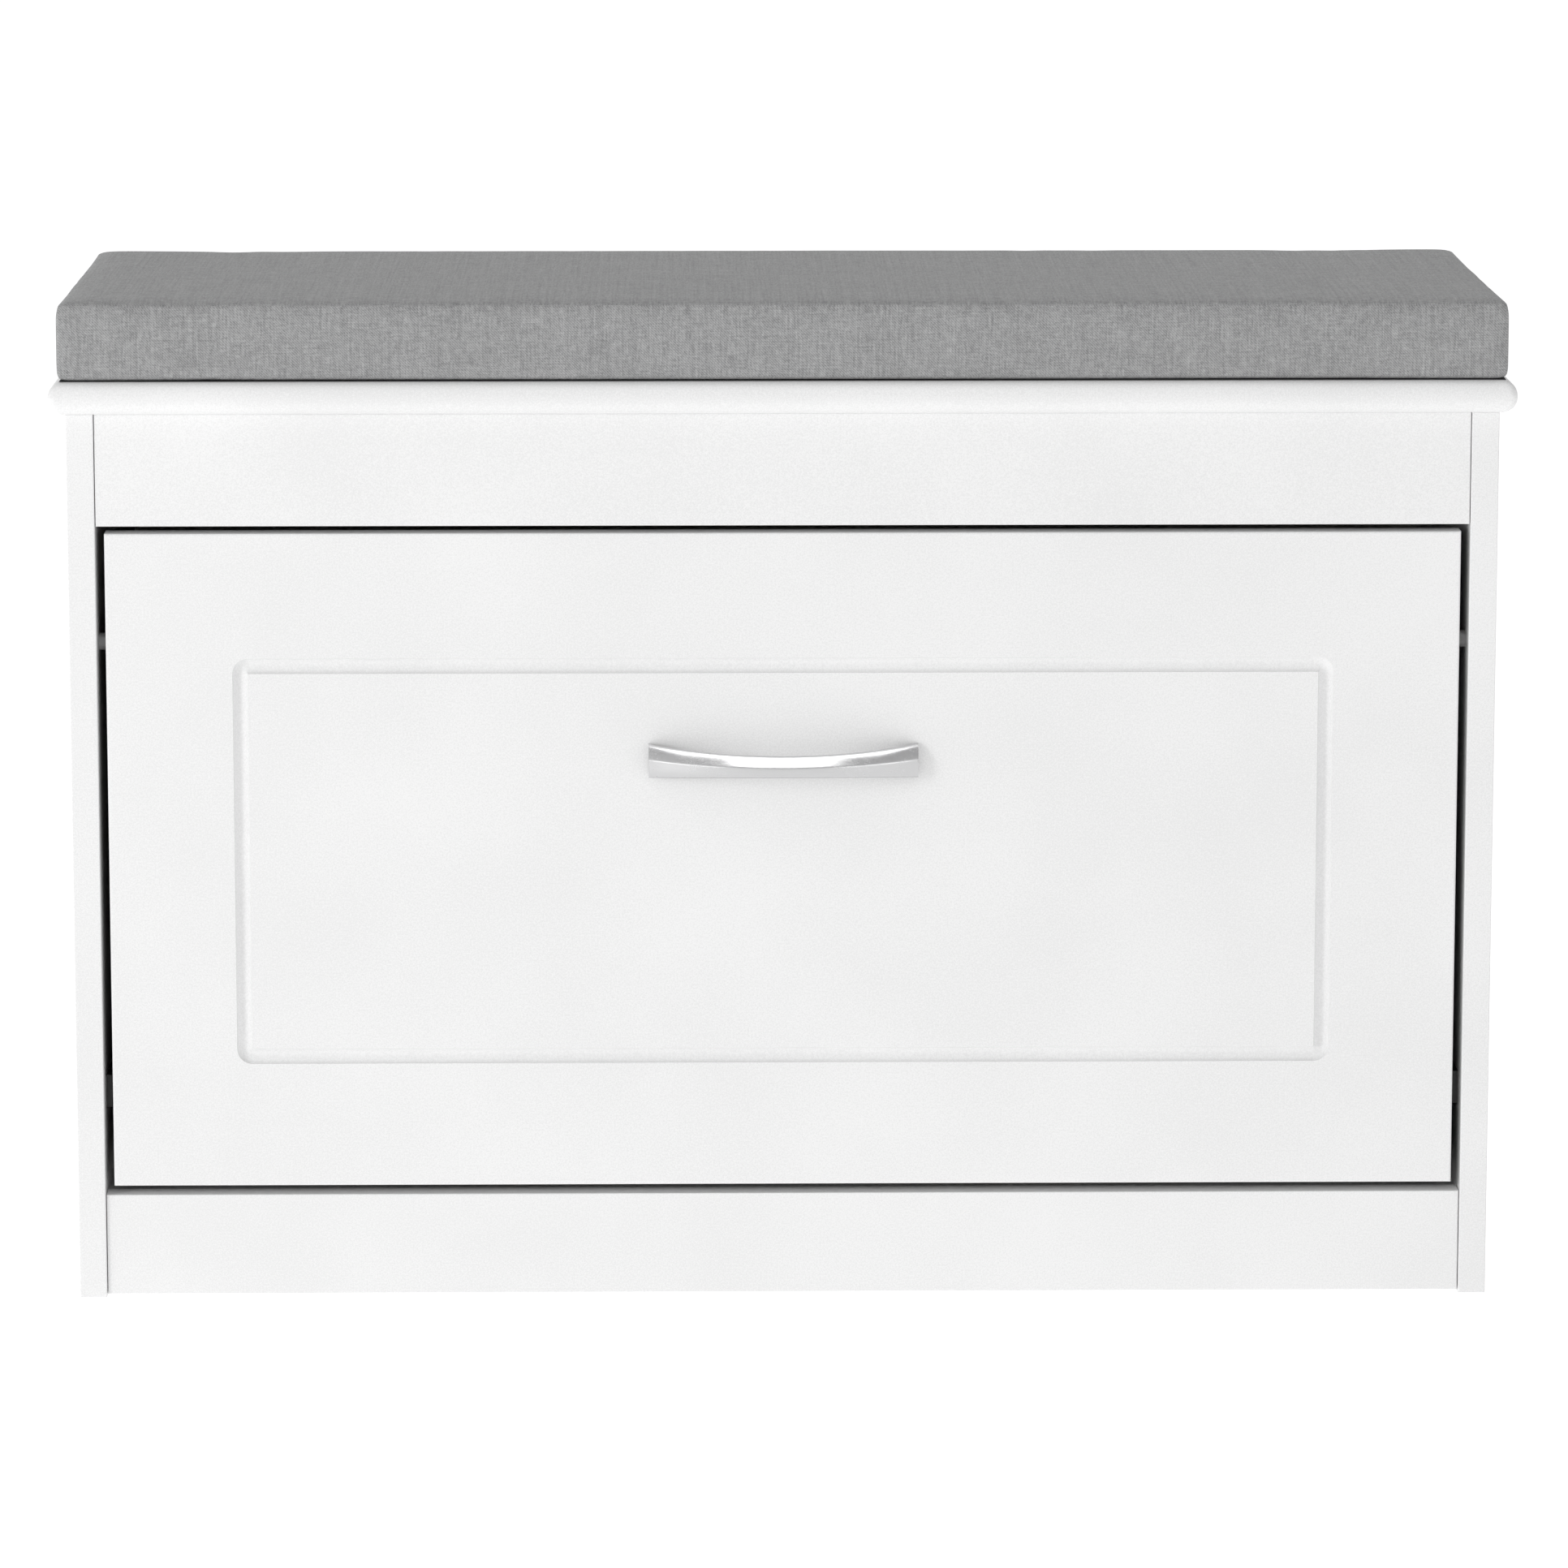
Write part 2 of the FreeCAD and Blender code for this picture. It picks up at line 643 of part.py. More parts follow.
def make_pivot(side, sign):
    """A pivot base with its pin on the side panel, and the drawer's bush that turns on it."""
    at = {"x": "0", "y": PIVOT_Y, "z": PIVOT_Z}
    base_in = less(INNER_X, PIVOT_BASE)
    body = new_body(f"{side}_pivot_base")
    x = span_x(sign, base_in, INNER_X)
    base_rear = add(PIVOT_Y, PIVOT_BASE_REAR)
    base_z = (less(PIVOT_Z, PIVOT_BASE_HALF_HEIGHT), add(PIVOT_Z, PIVOT_BASE_HALF_HEIGHT))
    pad_box(body, "base", x, (less(PIVOT_Y, PIVOT_BASE_FRONT), base_rear), base_z)
    rear = value(base_rear)
    round_edges(
        body, "base_corners", "Fillet", PIVOT_BASE_CORNER,
        lambda e: is_level(e, "y", rear) and e.BoundBox.XLength > 1,
    )
    pin_low, pin_high = span_x(sign, less(PLATE_OUT, HUB_REACH), INNER_X)
    sketch = new_sketch(body, "x", pin_low, "pin_outline")
    draw_circle(sketch, PIVOT_Y, PIVOT_Z, PIVOT_PIN_RADIUS)
    pin = body.newObject("PartDesign::Pad", "pin")
    pin.Profile = sketch
    pin.setExpression("Length", less(pin_high, pin_low))
    doc.recompute()
    drill(body, "screw_holes", "x", x[0], x[1], pivot_screw_centres(), SCREW_HOLE)
    head_low, head_high = span_x(sign, base_in, add(base_in, SCREW_HEAD))
    drill(body, "head_sinks", "x", head_low, head_high, pivot_screw_centres(), SCREW_HEAD_HOLE)

    flange_x = span_x(sign, PLATE_OUT, add(PLATE_OUT, BUSH_FLANGE))
    flange = rod(f"{side}_bush_flange", "x", at, *flange_x, BUSH_FLANGE_RADIUS)
    sleeve_x = span_x(sign, less(PLATE_OUT, HUB_REACH), PLATE_OUT)
    sleeve = rod(f"{side}_bush_sleeve", "x", at, *sleeve_x, BUSH_RADIUS)
    bore_x = span_x(sign, less(PLATE_OUT, HUB_REACH + 1), add(PLATE_OUT, 2))
    bore = rod(f"{side}_bush_bore", "x", at, *bore_x, PIVOT_PIN_RADIUS + RUNNING_FIT)
    bush = cut(f"{side}_pivot_bush", fuse(f"{side}_bush_blank", [flange, sleeve]), bore)
    bush.Label = f"{side}_pivot_bush"
    return [body, bush]


def make_side_screws():
    """Countersunk screws that hold the pivot bases to the side panels."""
    screws = []
    for sign in (-1, 1):
        base_in = less(INNER_X, PIVOT_BASE)
        for number, (y, z) in enumerate(pivot_screw_centres()):
            at = {"x": "0", "y": y, "z": z}
            name = f"pivot_screw_{sign + 1}_{number}"
            head_x = span_x(sign, base_in, add(base_in, SCREW_HEAD))
            head = rod(name + "_head", "x", at, *head_x, SCREW_HEAD_RADIUS)
            shank_x = span_x(sign, add(base_in, SCREW_HEAD), add(INNER_X, SPIGOT_LENGTH))
            shank = rod(name + "_shank", "x", at, *shank_x, SCREW_RADIUS)
            screws.append(fuse(name, [head, shank]))
    return group("pivot_base_screws", screws)


def make_limit_pin(side, sign):
    """A steel pin pressed into the side panel, with the sleeve that the slot runs on."""
    at = {"x": "0", "y": LIMIT_PIN_Y, "z": LIMIT_PIN_Z}
    tip = less(PLATE_IN, PIN_TIP)
    core_x = span_x(sign, tip, add(INNER_X, SPIGOT_LENGTH))
    core = rod(f"{side}_limit_pin", "x", at, *core_x, SPIGOT_RADIUS)
    core.Label = f"{side}_limit_pin"
    tube = rod(f"{side}_sleeve_blank", "x", at, *span_x(sign, tip, INNER_X), S.pin_radius)
    bore_x = span_x(sign, less(tip, 1), add(INNER_X, 1))
    bore = rod(f"{side}_sleeve_bore", "x", at, *bore_x, add(SPIGOT_RADIUS, S.fit))
    sleeve = cut(f"{side}_limit_sleeve", tube, bore)
    sleeve.Label = f"{side}_limit_sleeve"
    return [core, sleeve]


def groove_profile(corner, across):
    """The cutter's section at a corner point: a cove below the door's face, clear air above it."""
    width = value(S.groove_width)
    depth = value(S.groove_depth)
    air = Vector(0, -1, 0)
    far = corner + across * width
    deepest = corner + across * (width / 2) - air * depth
    edges = [
        Part.Arc(corner, deepest, far).toShape(),
        Part.makeLine(far, far + air),
        Part.makeLine(far + air, corner + air),
        Part.makeLine(corner + air, corner),
    ]
    return Part.Face(Part.Wire(edges))


def groove_tool():
    """The round-bottomed frame groove: straight runs, and a quarter turn about each inner corner."""
    inset = value(S.groove_inset) + value(S.groove_width)
    x = value(DOOR_X) - inset
    low = value(DOOR_LOW) + inset
    high = value(DOOR_HIGH) - inset
    front = value(FRONT)
    corners = [
        Vector(-x, front, low),
        Vector(x, front, low),
        Vector(x, front, high),
        Vector(-x, front, high),
    ]
    middle = (corners[0] + corners[2]) * 0.5
    pieces = []
    for number, corner in enumerate(corners):
        following = corners[(number + 1) % 4]
        run = following - corner
        outward = run.cross(Vector(0, 1, 0))
        outward.normalize()
        if outward.dot(corner - middle) < 0:
            outward = outward * -1
        section = groove_profile(following, outward)
        pieces.append(groove_profile(corner, outward).extrude(run))
        pieces.append(section.revolve(following, Vector(0, -1, 0), 90))
    tool = doc.addObject("Part::Feature", "groove_tool")
    tool.Shape = pieces[0].multiFuse(pieces[1:])
    tool.Placement = Placement()
    return tool


def door_screw_centres(sign):
    """Flange screws up one edge of the door's back."""
    x = mirrored(sign, less(PLATE_IN, FLANGE_SCREW_INSET))
    return [(x, add(PIVOT_Z, rise)) for rise in FLANGE_SCREW_RISES]


def handle_screw_centres():
    return [(neg(half(S.handle_centres)), HANDLE_Z), (half(S.handle_centres), HANDLE_Z)]


HANDLE_SCREW_RADIUS = 2
HANDLE_SCREW_HEAD_RADIUS = 4
HANDLE_SCREW_HEAD = 2.2
HANDLE_SCREW_BITE = 8
HANDLE_SCREW_END = 0.5
HANDLE_HOLE_CLEARANCE = 0.2
FLANGE_SCREW_BITE = 10
FLANGE_SCREW_INSET = 7
FLANGE_SCREW_RISES = (-25, 60, 170)
DOOR_EDGE_ROUND = 1.2


def make_door():
    body = new_body("door_panel_blank")
    x = (neg(DOOR_X), DOOR_X)
    pad_box(body, "panel", x, (FRONT, DOOR_BACK), (DOOR_LOW, DOOR_HIGH))
    front = value(FRONT)
    round_edges(body, "eased_front", "Fillet", DOOR_EDGE_ROUND, lambda e: is_level(e, "y", front))
    handle_hole = HANDLE_SCREW_RADIUS + HANDLE_HOLE_CLEARANCE
    drill(body, "handle_holes", "y", FRONT, DOOR_BACK, handle_screw_centres(), handle_hole)
    centres = door_screw_centres(-1) + door_screw_centres(1)
    low = less(DOOR_BACK, FLANGE_SCREW_BITE)
    drill(body, "flange_holes", "y", low, DOOR_BACK, centres, SCREW_HOLE)
    door = cut("door_panel", body, groove_tool())
    door.Label = "door_panel"
    return door


# The bow handle's section, measured from the screws' height: at the middle, and how far each
# edge has moved by the ends.  The closed curve swells a little past its foremost corner.
BAR_DEPTH = 7.5
BAR_END_REACH = 7
BAR_SWELL = 0.4
BAR_TOP = 5.3
BAR_TOP_FLARE = 3.8
BAR_TOP_BEND = 1.8
BAR_BOTTOM = -6
BAR_BOTTOM_FLARE = -3
BAR_BOW_BEND = 2.6
BAR_CREST = 0.45
BAR_SPANS = 12
FOOT_RADIUS = 5
FOOT_LENGTH = 11


def bar_section(x):
    """The bar's cross-section at a place along its length."""
    share = abs(x) / (value(S.handle_length) / 2)
    out = value(S.handle_projection) - BAR_SWELL
    nose = value(FRONT) - out + (out - BAR_END_REACH) * share ** BAR_BOW_BEND
    z_mid = value(HANDLE_Z)
    top = z_mid + BAR_TOP + BAR_TOP_FLARE * share ** BAR_TOP_BEND
    bottom = z_mid + BAR_BOTTOM + BAR_BOTTOM_FLARE * share ** BAR_BOW_BEND
    crest = nose + BAR_DEPTH * BAR_CREST
    corners = [
        Vector(x, crest, top),
        Vector(x, nose, (top + bottom) / 2),
        Vector(x, crest, bottom),
        Vector(x, nose + BAR_DEPTH, (top + bottom) / 2),
    ]
    curve = Part.BSplineCurve()
    curve.interpolate(corners, PeriodicFlag=True)
    return Part.Wire([curve.toShape()])


def make_handle():
    """The bow handle: a lofted bar between two feet that carry the screw threads."""
    z_mid = value(HANDLE_Z)
    length = value(S.handle_length)
    screw_x = value(S.handle_centres) / 2
    front = value(FRONT)
    stations = [length * (step / BAR_SPANS - 0.5) for step in range(BAR_SPANS + 1)]
    handle = Part.makeLoft([bar_section(x) for x in stations], True)
    for side in (-1, 1):
        start = Vector(side * screw_x, front, z_mid)
        handle = handle.fuse(Part.makeCylinder(FOOT_RADIUS, FOOT_LENGTH, start, Vector(0, -1, 0)))
    door_space = Part.makeBox(2 * length, length, length, Vector(-length, front, z_mid - length / 2))
    handle = handle.cut(door_space)
    thread_radius = HANDLE_SCREW_RADIUS + value(S.fit)
    for side in (-1, 1):
        start = Vector(side * screw_x, front, z_mid)
        thread = Part.makeCylinder(thread_radius, HANDLE_SCREW_BITE, start, Vector(0, -1, 0))
        handle = handle.cut(thread)
    feature = doc.addObject("Part::Feature", "handle")
    feature.Shape = handle
    feature.Placement = Placement()
    feature.Label = "handle"
    return feature


def make_handle_screws():
    screws = []
    for number, (x, z) in enumerate(handle_screw_centres()):
        at = {"x": x, "y": "0", "z": z}
        tip = less(FRONT, HANDLE_SCREW_BITE - HANDLE_SCREW_END)
        shank = rod(f"handle_screw_shank_{number}", "y", at, tip, DOOR_BACK, HANDLE_SCREW_RADIUS)
        head = rod(
            f"handle_screw_head_{number}", "y", at, DOOR_BACK,
            add(DOOR_BACK, HANDLE_SCREW_HEAD), HANDLE_SCREW_HEAD_RADIUS,
        )
        screws.append(fuse(f"handle_screw_{number}", [shank, head]))
    return group("handle_screws", screws)


SHELF_SCREW_BITE = 20
LOWER_SHELF_SCREWS = (50, 180)
UPPER_SHELF_SCREWS = (30, 100)
LOWER_STOP_SCREW = 60
UPPER_STOP_SCREW = 40


def shelf_screw_centres():
    """Where screws pass through a bracket plate into the ends of the tray boards."""
    centres = []
    for run in LOWER_SHELF_SCREWS:
        centres.append((add(PIVOT_Y, run), add(SHELF_Z, half(S.shelf))))
    for run in UPPER_SHELF_SCREWS:
        centres.append((add(PIVOT_Y, run), add(UPPER_SHELF_Z, half(S.shelf))))
    centres.append((less(LOWER_STOP_REAR, half(S.shelf)), add(SHELF_Z, S.shelf, LOWER_STOP_SCREW)))
    centres.append((less(UPPER_STOP_REAR, half(S.shelf)), add(UPPER_SHELF_Z, S.shelf, UPPER_STOP_SCREW)))
    return centres


FAN_MARGIN = 6
SLOT_MARGIN = 3
FLANGE_TOP_CLEARANCE = 9
HUB_FLAT_DEPTH = 20
HUB_FLAT_HALF_HEIGHT = 15


def draw_fan(sketch):
    """The bracket's outline: straight along the door, an arc about the pivot at the top."""
    arc_rise = "sqrt(Sizes.fan_radius ^ 2 - (Sizes.pivot_back - Sizes.board) ^ 2)"
    top_front = (DOOR_BACK, add(PIVOT_Z, arc_rise))
    lean = add(S.tilt_angle, FAN_MARGIN)
    arc_end = (
        f"({PIVOT_Y} + Sizes.fan_radius * sin({lean} * 1 deg))",
        f"({PIVOT_Z} + Sizes.fan_radius * cos({lean} * 1 deg))",
    )
    rear = add(LOWER_STOP_REAR, S.rib)
    bottom = less(SHELF_Z, S.rib)
    corners = [
        (DOOR_BACK, bottom),
        (rear, bottom),
        (rear, add(SHELF_Z, S.shelf, S.lower_stop_height)),
        arc_end,
        top_front,
    ]
    points = [Vector(value(u), value(v), 0) for u, v in corners]
    lines = []
    for i in (0, 1, 2, 4):
        lines.append(sketch.addGeometry(Part.LineSegment(points[i], points[(i + 1) % 5]), False))
    centre = Vector(value(PIVOT_Y), value(PIVOT_Z), 0)
    middle = points[3] + points[4] - centre * 2
    middle.normalize()
    arc = sketch.addGeometry(
        Part.Arc(points[3], centre + middle * value(S.fan_radius), points[4]), False
    )
    starts_at = 1 if (sketch.Geometry[arc].StartPoint - points[3]).Length < 1e-6 else 2
    sketch.addConstraint(Sketcher.Constraint("Coincident", lines[0], 2, lines[1], 1))
    sketch.addConstraint(Sketcher.Constraint("Coincident", lines[1], 2, lines[2], 1))
    sketch.addConstraint(Sketcher.Constraint("Coincident", lines[2], 2, arc, starts_at))
    sketch.addConstraint(Sketcher.Constraint("Coincident", lines[3], 1, arc, 3 - starts_at))
    sketch.addConstraint(Sketcher.Constraint("Coincident", lines[3], 2, lines[0], 1))
    for line, point, (u, v) in (
        (lines[0], 1, corners[0]),
        (lines[1], 1, corners[1]),
        (lines[2], 1, corners[2]),
        (lines[2], 2, corners[3]),
    ):
        hold(sketch, "DistanceX", line, point, u)
        hold(sketch, "DistanceY", line, point, v)
    hold(sketch, "DistanceX", arc, 3, PIVOT_Y)
    hold(sketch, "DistanceY", arc, 3, PIVOT_Z)
    hold(sketch, "DistanceX", lines[3], 1, corners[4][0])


def draw_slot(sketch):
    """The arc slot about the pivot, from in front of the closed pin to the open one."""
    centre = Vector(value(PIVOT_Y), value(PIVOT_Z), 0)
    half_width = value(S.pin_radius) + value(S.slot_clearance)
    reach = value(S.pin_reach)
    turn = value(S.tilt_angle)
    closed = Rotation(Vector(0, 0, 1), SLOT_MARGIN).multVec(Vector(0, 1, 0))
    opened = Rotation(Vector(0, 0, 1), -turn).multVec(Vector(0, 1, 0))
    middle = Rotation(Vector(0, 0, 1), -turn / 2).multVec(Vector(0, 1, 0))
    outer, inner = reach + half_width, reach - half_width
    outer_arc = sketch.addGeometry(
        Part.Arc(centre + closed * outer, centre + middle * outer, centre + opened * outer), False
    )
    inner_arc = sketch.addGeometry(
        Part.Arc(centre + closed * inner, centre + middle * inner, centre + opened * inner), False
    )
    along_slot = Vector(opened.y, -opened.x, 0)
    end_arc = sketch.addGeometry(
        Part.Arc(
            centre + opened * outer,
            centre + opened * reach + along_slot * half_width,
            centre + opened * inner,
        ),
        False,
    )
    mouth = sketch.addGeometry(Part.LineSegment(centre + closed * inner, centre + closed * outer), False)
    for geometry in (outer_arc, inner_arc, end_arc, mouth):
        sketch.addConstraint(Sketcher.Constraint("Block", geometry))


def make_bracket(side, sign):
    """A moulded fan bracket: plate, door flange, ledges for the tray boards, hub and slot."""
    label = f"{side}_tilt_bracket"
    body = new_body(label)
    x = span_x(sign, PLATE_IN, PLATE_OUT)
    sketch = new_sketch(body, "x", x[0], "fan_outline")
    draw_fan(sketch)
    plate = body.newObject("PartDesign::Pad", "plate")
    plate.Profile = sketch
    plate.setExpression("Length", S.plate)
    doc.recompute()
    ledge_x = span_x(sign, less(PLATE_IN, S.ledge), PLATE_OUT)
    flange = (DOOR_BACK, add(DOOR_BACK, S.rib))
    bottom = less(SHELF_Z, S.rib)
    lower_rear = (LOWER_STOP_REAR, add(LOWER_STOP_REAR, S.rib))
    upper_rear = (UPPER_STOP_REAR, add(UPPER_STOP_REAR, S.rib))
    lower_top = add(SHELF_Z, S.shelf, S.lower_stop_height)
    upper_bottom = less(UPPER_SHELF_Z, S.rib)
    upper_top = add(UPPER_SHELF_Z, S.shelf, S.upper_stop_height)
    pad_box(body, "door_flange", ledge_x, flange, (bottom, less(LIMIT_PIN_Z, FLANGE_TOP_CLEARANCE)))
    pad_box(body, "lower_ledge", ledge_x, (DOOR_BACK, lower_rear[1]), (bottom, SHELF_Z))
    pad_box(body, "lower_stop_ledge", ledge_x, lower_rear, (bottom, lower_top))
    pad_box(body, "upper_ledge", ledge_x, (DOOR_BACK, upper_rear[1]), (upper_bottom, UPPER_SHELF_Z))
    pad_box(body, "upper_stop_ledge", ledge_x, upper_rear, (upper_bottom, upper_top))
    hub_x = span_x(sign, less(PLATE_OUT, HUB_REACH), PLATE_OUT)
    hub_sketch = new_sketch(body, "x", hub_x[0], "hub_outline")
    draw_circle(hub_sketch, PIVOT_Y, PIVOT_Z, HUB_RADIUS)
    hub = body.newObject("PartDesign::Pad", "hub")
    hub.Profile = hub_sketch
    hub.setExpression("Length", less(hub_x[1], hub_x[0]))
    doc.recompute()
    flat_y = (less(DOOR_BACK, HUB_FLAT_DEPTH), DOOR_BACK)
    flat_z = (less(PIVOT_Z, HUB_FLAT_HALF_HEIGHT), add(PIVOT_Z, HUB_FLAT_HALF_HEIGHT))
    cut_box(body, "hub_flat", ledge_x, flat_y, flat_z)
    before = body.Shape.Volume
    slot_sketch = new_sketch(body, "x", ledge_x[1], "slot_outline")
    draw_slot(slot_sketch)
    slot = body.newObject("PartDesign::Pocket", "limit_slot")
    slot.Profile = slot_sketch
    slot.setExpression("Length", less(ledge_x[1], ledge_x[0]))
    doc.recompute()
    check_cut(body, before, "limit slot")
    drill(body, "hub_bore", "x", hub_x[0], hub_x[1], [(PIVOT_Y, PIVOT_Z)], add(BUSH_RADIUS, S.fit))
    drill(body, "shelf_screw_holes", "x", x[0], x[1], shelf_screw_centres(), SCREW_HOLE)
    drill(body, "flange_screw_holes", "y", flange[0], flange[1], door_screw_centres(sign), SCREW_HOLE)
    return body


def make_tray_boards():
    """Two shelves and two back stops between the brackets."""
    ends = (neg(PLATE_IN), PLATE_IN)
    lower_top = add(SHELF_Z, S.shelf)
    upper_top = add(UPPER_SHELF_Z, S.shelf)
    flange_back = add(DOOR_BACK, S.rib)
    boards = {
        "lower_shelf": ((flange_back, LOWER_STOP_REAR), (SHELF_Z, lower_top)),
        "upper_shelf": ((flange_back, UPPER_STOP_REAR), (UPPER_SHELF_Z, upper_top)),
        "lower_back_stop": (
            (less(LOWER_STOP_REAR, S.shelf), LOWER_STOP_REAR),
            (lower_top, add(lower_top, S.lower_stop_height)),
        ),
        "upper_back_stop": (
            (less(UPPER_STOP_REAR, S.shelf), UPPER_STOP_REAR),
            (upper_top, add(upper_top, S.upper_stop_height)),
        ),
    }
    centres = shelf_screw_centres()
    owners = {
        "lower_shelf": centres[0:2],
        "upper_shelf": centres[2:4],
        "lower_back_stop": centres[4:5],
        "upper_back_stop": centres[5:6],
    }
    made = []
    for label, (y, z) in boards.items():
        body = new_body(label)
        pad_box(body, "panel", ends, y, z)
        for sign in (-1, 1):
            x = span_x(sign, less(PLATE_IN, SHELF_SCREW_BITE), PLATE_IN)
            drill(body, f"end_holes_{sign + 1}", "x", x[0], x[1], owners[label], SCREW_HOLE)
        made.append(body)
    return made


def make_tray_screws():
    """Pan-head screws through the brackets, into the tray boards and into the door."""
    shelf_screws = []
    flange_screws = []
    for sign in (-1, 1):
        for number, (y, z) in enumerate(shelf_screw_centres()):
            at = {"x": "0", "y": y, "z": z}
            name = f"shelf_screw_{sign + 1}_{number}"
            head_x = span_x(sign, PLATE_OUT, add(PLATE_OUT, SCREW_HEAD))
            head = rod(name + "_head", "x", at, *head_x, SCREW_HEAD_RADIUS)
            shank_x = span_x(sign, less(PLATE_IN, SHELF_SCREW_BITE), PLATE_OUT)
            shank = rod(name + "_shank", "x", at, *shank_x, SCREW_RADIUS)
            shelf_screws.append(fuse(name, [head, shank]))
        for number, (x, z) in enumerate(door_screw_centres(sign)):
            at = {"x": x, "y": "0", "z": z}
            name = f"flange_screw_{sign + 1}_{number}"
            flange_back = add(DOOR_BACK, S.rib)
            head_back = add(flange_back, SCREW_HEAD)
            tip = less(DOOR_BACK, FLANGE_SCREW_BITE)
            head = rod(name + "_head", "y", at, flange_back, head_back, SCREW_HEAD_RADIUS)
            shank = rod(name + "_shank", "y", at, tip, flange_back, SCREW_RADIUS)
            flange_screws.append(fuse(name, [head, shank]))
    return [group("shelf_screws", shelf_screws), group("bracket_screws", flange_screws)]


def make_cushion():
    """The box cushion: foam, a fabric cover open underneath, and a non-slip base cloth."""
    x = half(S.cushion_width)
    middle = add(less(FRONT, S.top_overhang), half(add(S.carcass_depth, S.top_overhang)))
    y = (less(middle, half(S.cushion_depth)), add(middle, half(S.cushion_depth)))
    low, high = TOP_UPPER, add(TOP_UPPER, S.cushion_height)
    cover = new_body("cushion_cover")
    pad_box(cover, "outside", (neg(x), x), y, (low, high))
    ends = (value(neg(x)), value(x))
    sides = (value(y[0]), value(y[1]))
    top = value(high)

    def soft(edge):
        at_end = any(is_level(edge, "x", end) for end in ends)
        at_side = any(is_level(edge, "y", side) for side in sides)
        return (at_end and at_side) or is_level(edge, "z", top)

    round_edges(cover, "soft_edges", "Fillet", S.cover_round, soft)
    inside_x = less(x, S.cover)
    inside_y = (add(y[0], S.cover), less(y[1], S.cover))
    cut_box(cover, "hollow", (neg(inside_x), inside_x), inside_y, (low, less(high, S.cover)))
    foam = new_body("cushion_foam")
    foam_x = less(x, S.foam_clearance, S.cover)
    foam_y = (add(y[0], S.foam_clearance, S.cover), less(y[1], S.foam_clearance, S.cover))
    pad_box(foam, "block", (neg(foam_x), foam_x), foam_y, (add(low, S.cover), less(high, S.cover)))
    base = new_body("cushion_base_cloth")
    pad_box(base, "cloth", (neg(foam_x), foam_x), foam_y, (low, add(low, S.cover)))
    return [cover, foam, base]


def make_bench():
    """Every sub-part, in the order it would be put together."""
    collect_joints()
    sides = [make_side("left_side_panel", -1), make_side("right_side_panel", 1)]
    cross_boards = make_cross_boards()
    parts = sides + cross_boards
    bore_nails(parts)
    parts += [make_top()]
    parts += make_back()
    parts += [make_glides(sides)]
    parts += make_knock_down_fittings()
    for side, sign in (("left", -1), ("right", 1)):
        parts += make_pivot(side, sign)
        parts += make_limit_pin(side, sign)
        parts += [make_bracket(side, sign)]
    parts += [make_side_screws(), make_door(), make_handle(), make_handle_screws()]
    parts += make_tray_boards()
    parts += make_tray_screws()
    parts += make_cushion()
    return parts


def check_and_export(parts):
    doc.recompute()
    for item in doc.Objects:
        if "Invalid" in item.State or "Error" in item.State:
            raise RuntimeError(f"{item.Name} did not build: {item.State}")
    for part in parts:
        if part.Shape.isNull() or not part.Shape.isValid():
            raise RuntimeError(f"{part.Label} has no valid shape")
    os.makedirs("parts", exist_ok=True)
    for part in parts:
        part.Shape.exportStep(f"parts/{part.Label}.step")


check_and_export(make_bench())
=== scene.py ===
import json
import math

import bmesh
import bpy
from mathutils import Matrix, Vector


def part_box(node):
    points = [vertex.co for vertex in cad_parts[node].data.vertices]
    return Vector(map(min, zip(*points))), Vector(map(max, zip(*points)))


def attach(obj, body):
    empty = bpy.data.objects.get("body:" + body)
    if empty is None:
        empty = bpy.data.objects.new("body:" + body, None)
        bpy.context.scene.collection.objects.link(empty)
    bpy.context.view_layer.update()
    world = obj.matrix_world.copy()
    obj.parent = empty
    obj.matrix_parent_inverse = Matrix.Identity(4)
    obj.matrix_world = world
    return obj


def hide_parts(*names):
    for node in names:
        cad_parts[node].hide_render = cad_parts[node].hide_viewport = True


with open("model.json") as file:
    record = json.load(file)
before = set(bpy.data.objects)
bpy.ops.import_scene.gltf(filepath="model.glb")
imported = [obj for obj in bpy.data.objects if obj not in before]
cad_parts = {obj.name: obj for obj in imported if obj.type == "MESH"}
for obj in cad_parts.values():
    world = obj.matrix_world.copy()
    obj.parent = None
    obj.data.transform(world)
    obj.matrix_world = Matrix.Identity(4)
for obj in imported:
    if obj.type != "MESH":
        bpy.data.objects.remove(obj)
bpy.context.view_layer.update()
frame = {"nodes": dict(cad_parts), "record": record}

MM = 0.001


# ---------------------------------------------------------------- node helpers


def new_material(name):
    """A node material with its Principled shader and its tree."""
    material = bpy.data.materials.new(name)
    material.use_nodes = True
    tree = material.node_tree
    return material, tree, tree.nodes["Principled BSDF"]


def node(tree, kind, **settings):
    made = tree.nodes.new(kind)
    for key, value in settings.items():
        setattr(made, key, value)
    return made


def wire(tree, source, target):
    tree.links.new(source, target)


def math_node(tree, operation, first, second=None):
    """A Math node whose inputs are sockets or numbers."""
    made = node(tree, "ShaderNodeMath", operation=operation)
    for slot, value in enumerate((first, second)):
        if value is None:
            continue
        if isinstance(value, (int, float)):
            made.inputs[slot].default_value = value
        else:
            wire(tree, value, made.inputs[slot])
    return made.outputs[0]


def coordinates(tree, scale=(1, 1, 1), source="Object"):
    """Object or UV coordinates in metres, scaled per axis."""
    texture = node(tree, "ShaderNodeTexCoord")
    mapping = node(tree, "ShaderNodeMapping")
    mapping.inputs["Scale"].default_value = scale
    wire(tree, texture.outputs[source], mapping.inputs["Vector"])
    return mapping.outputs["Vector"]


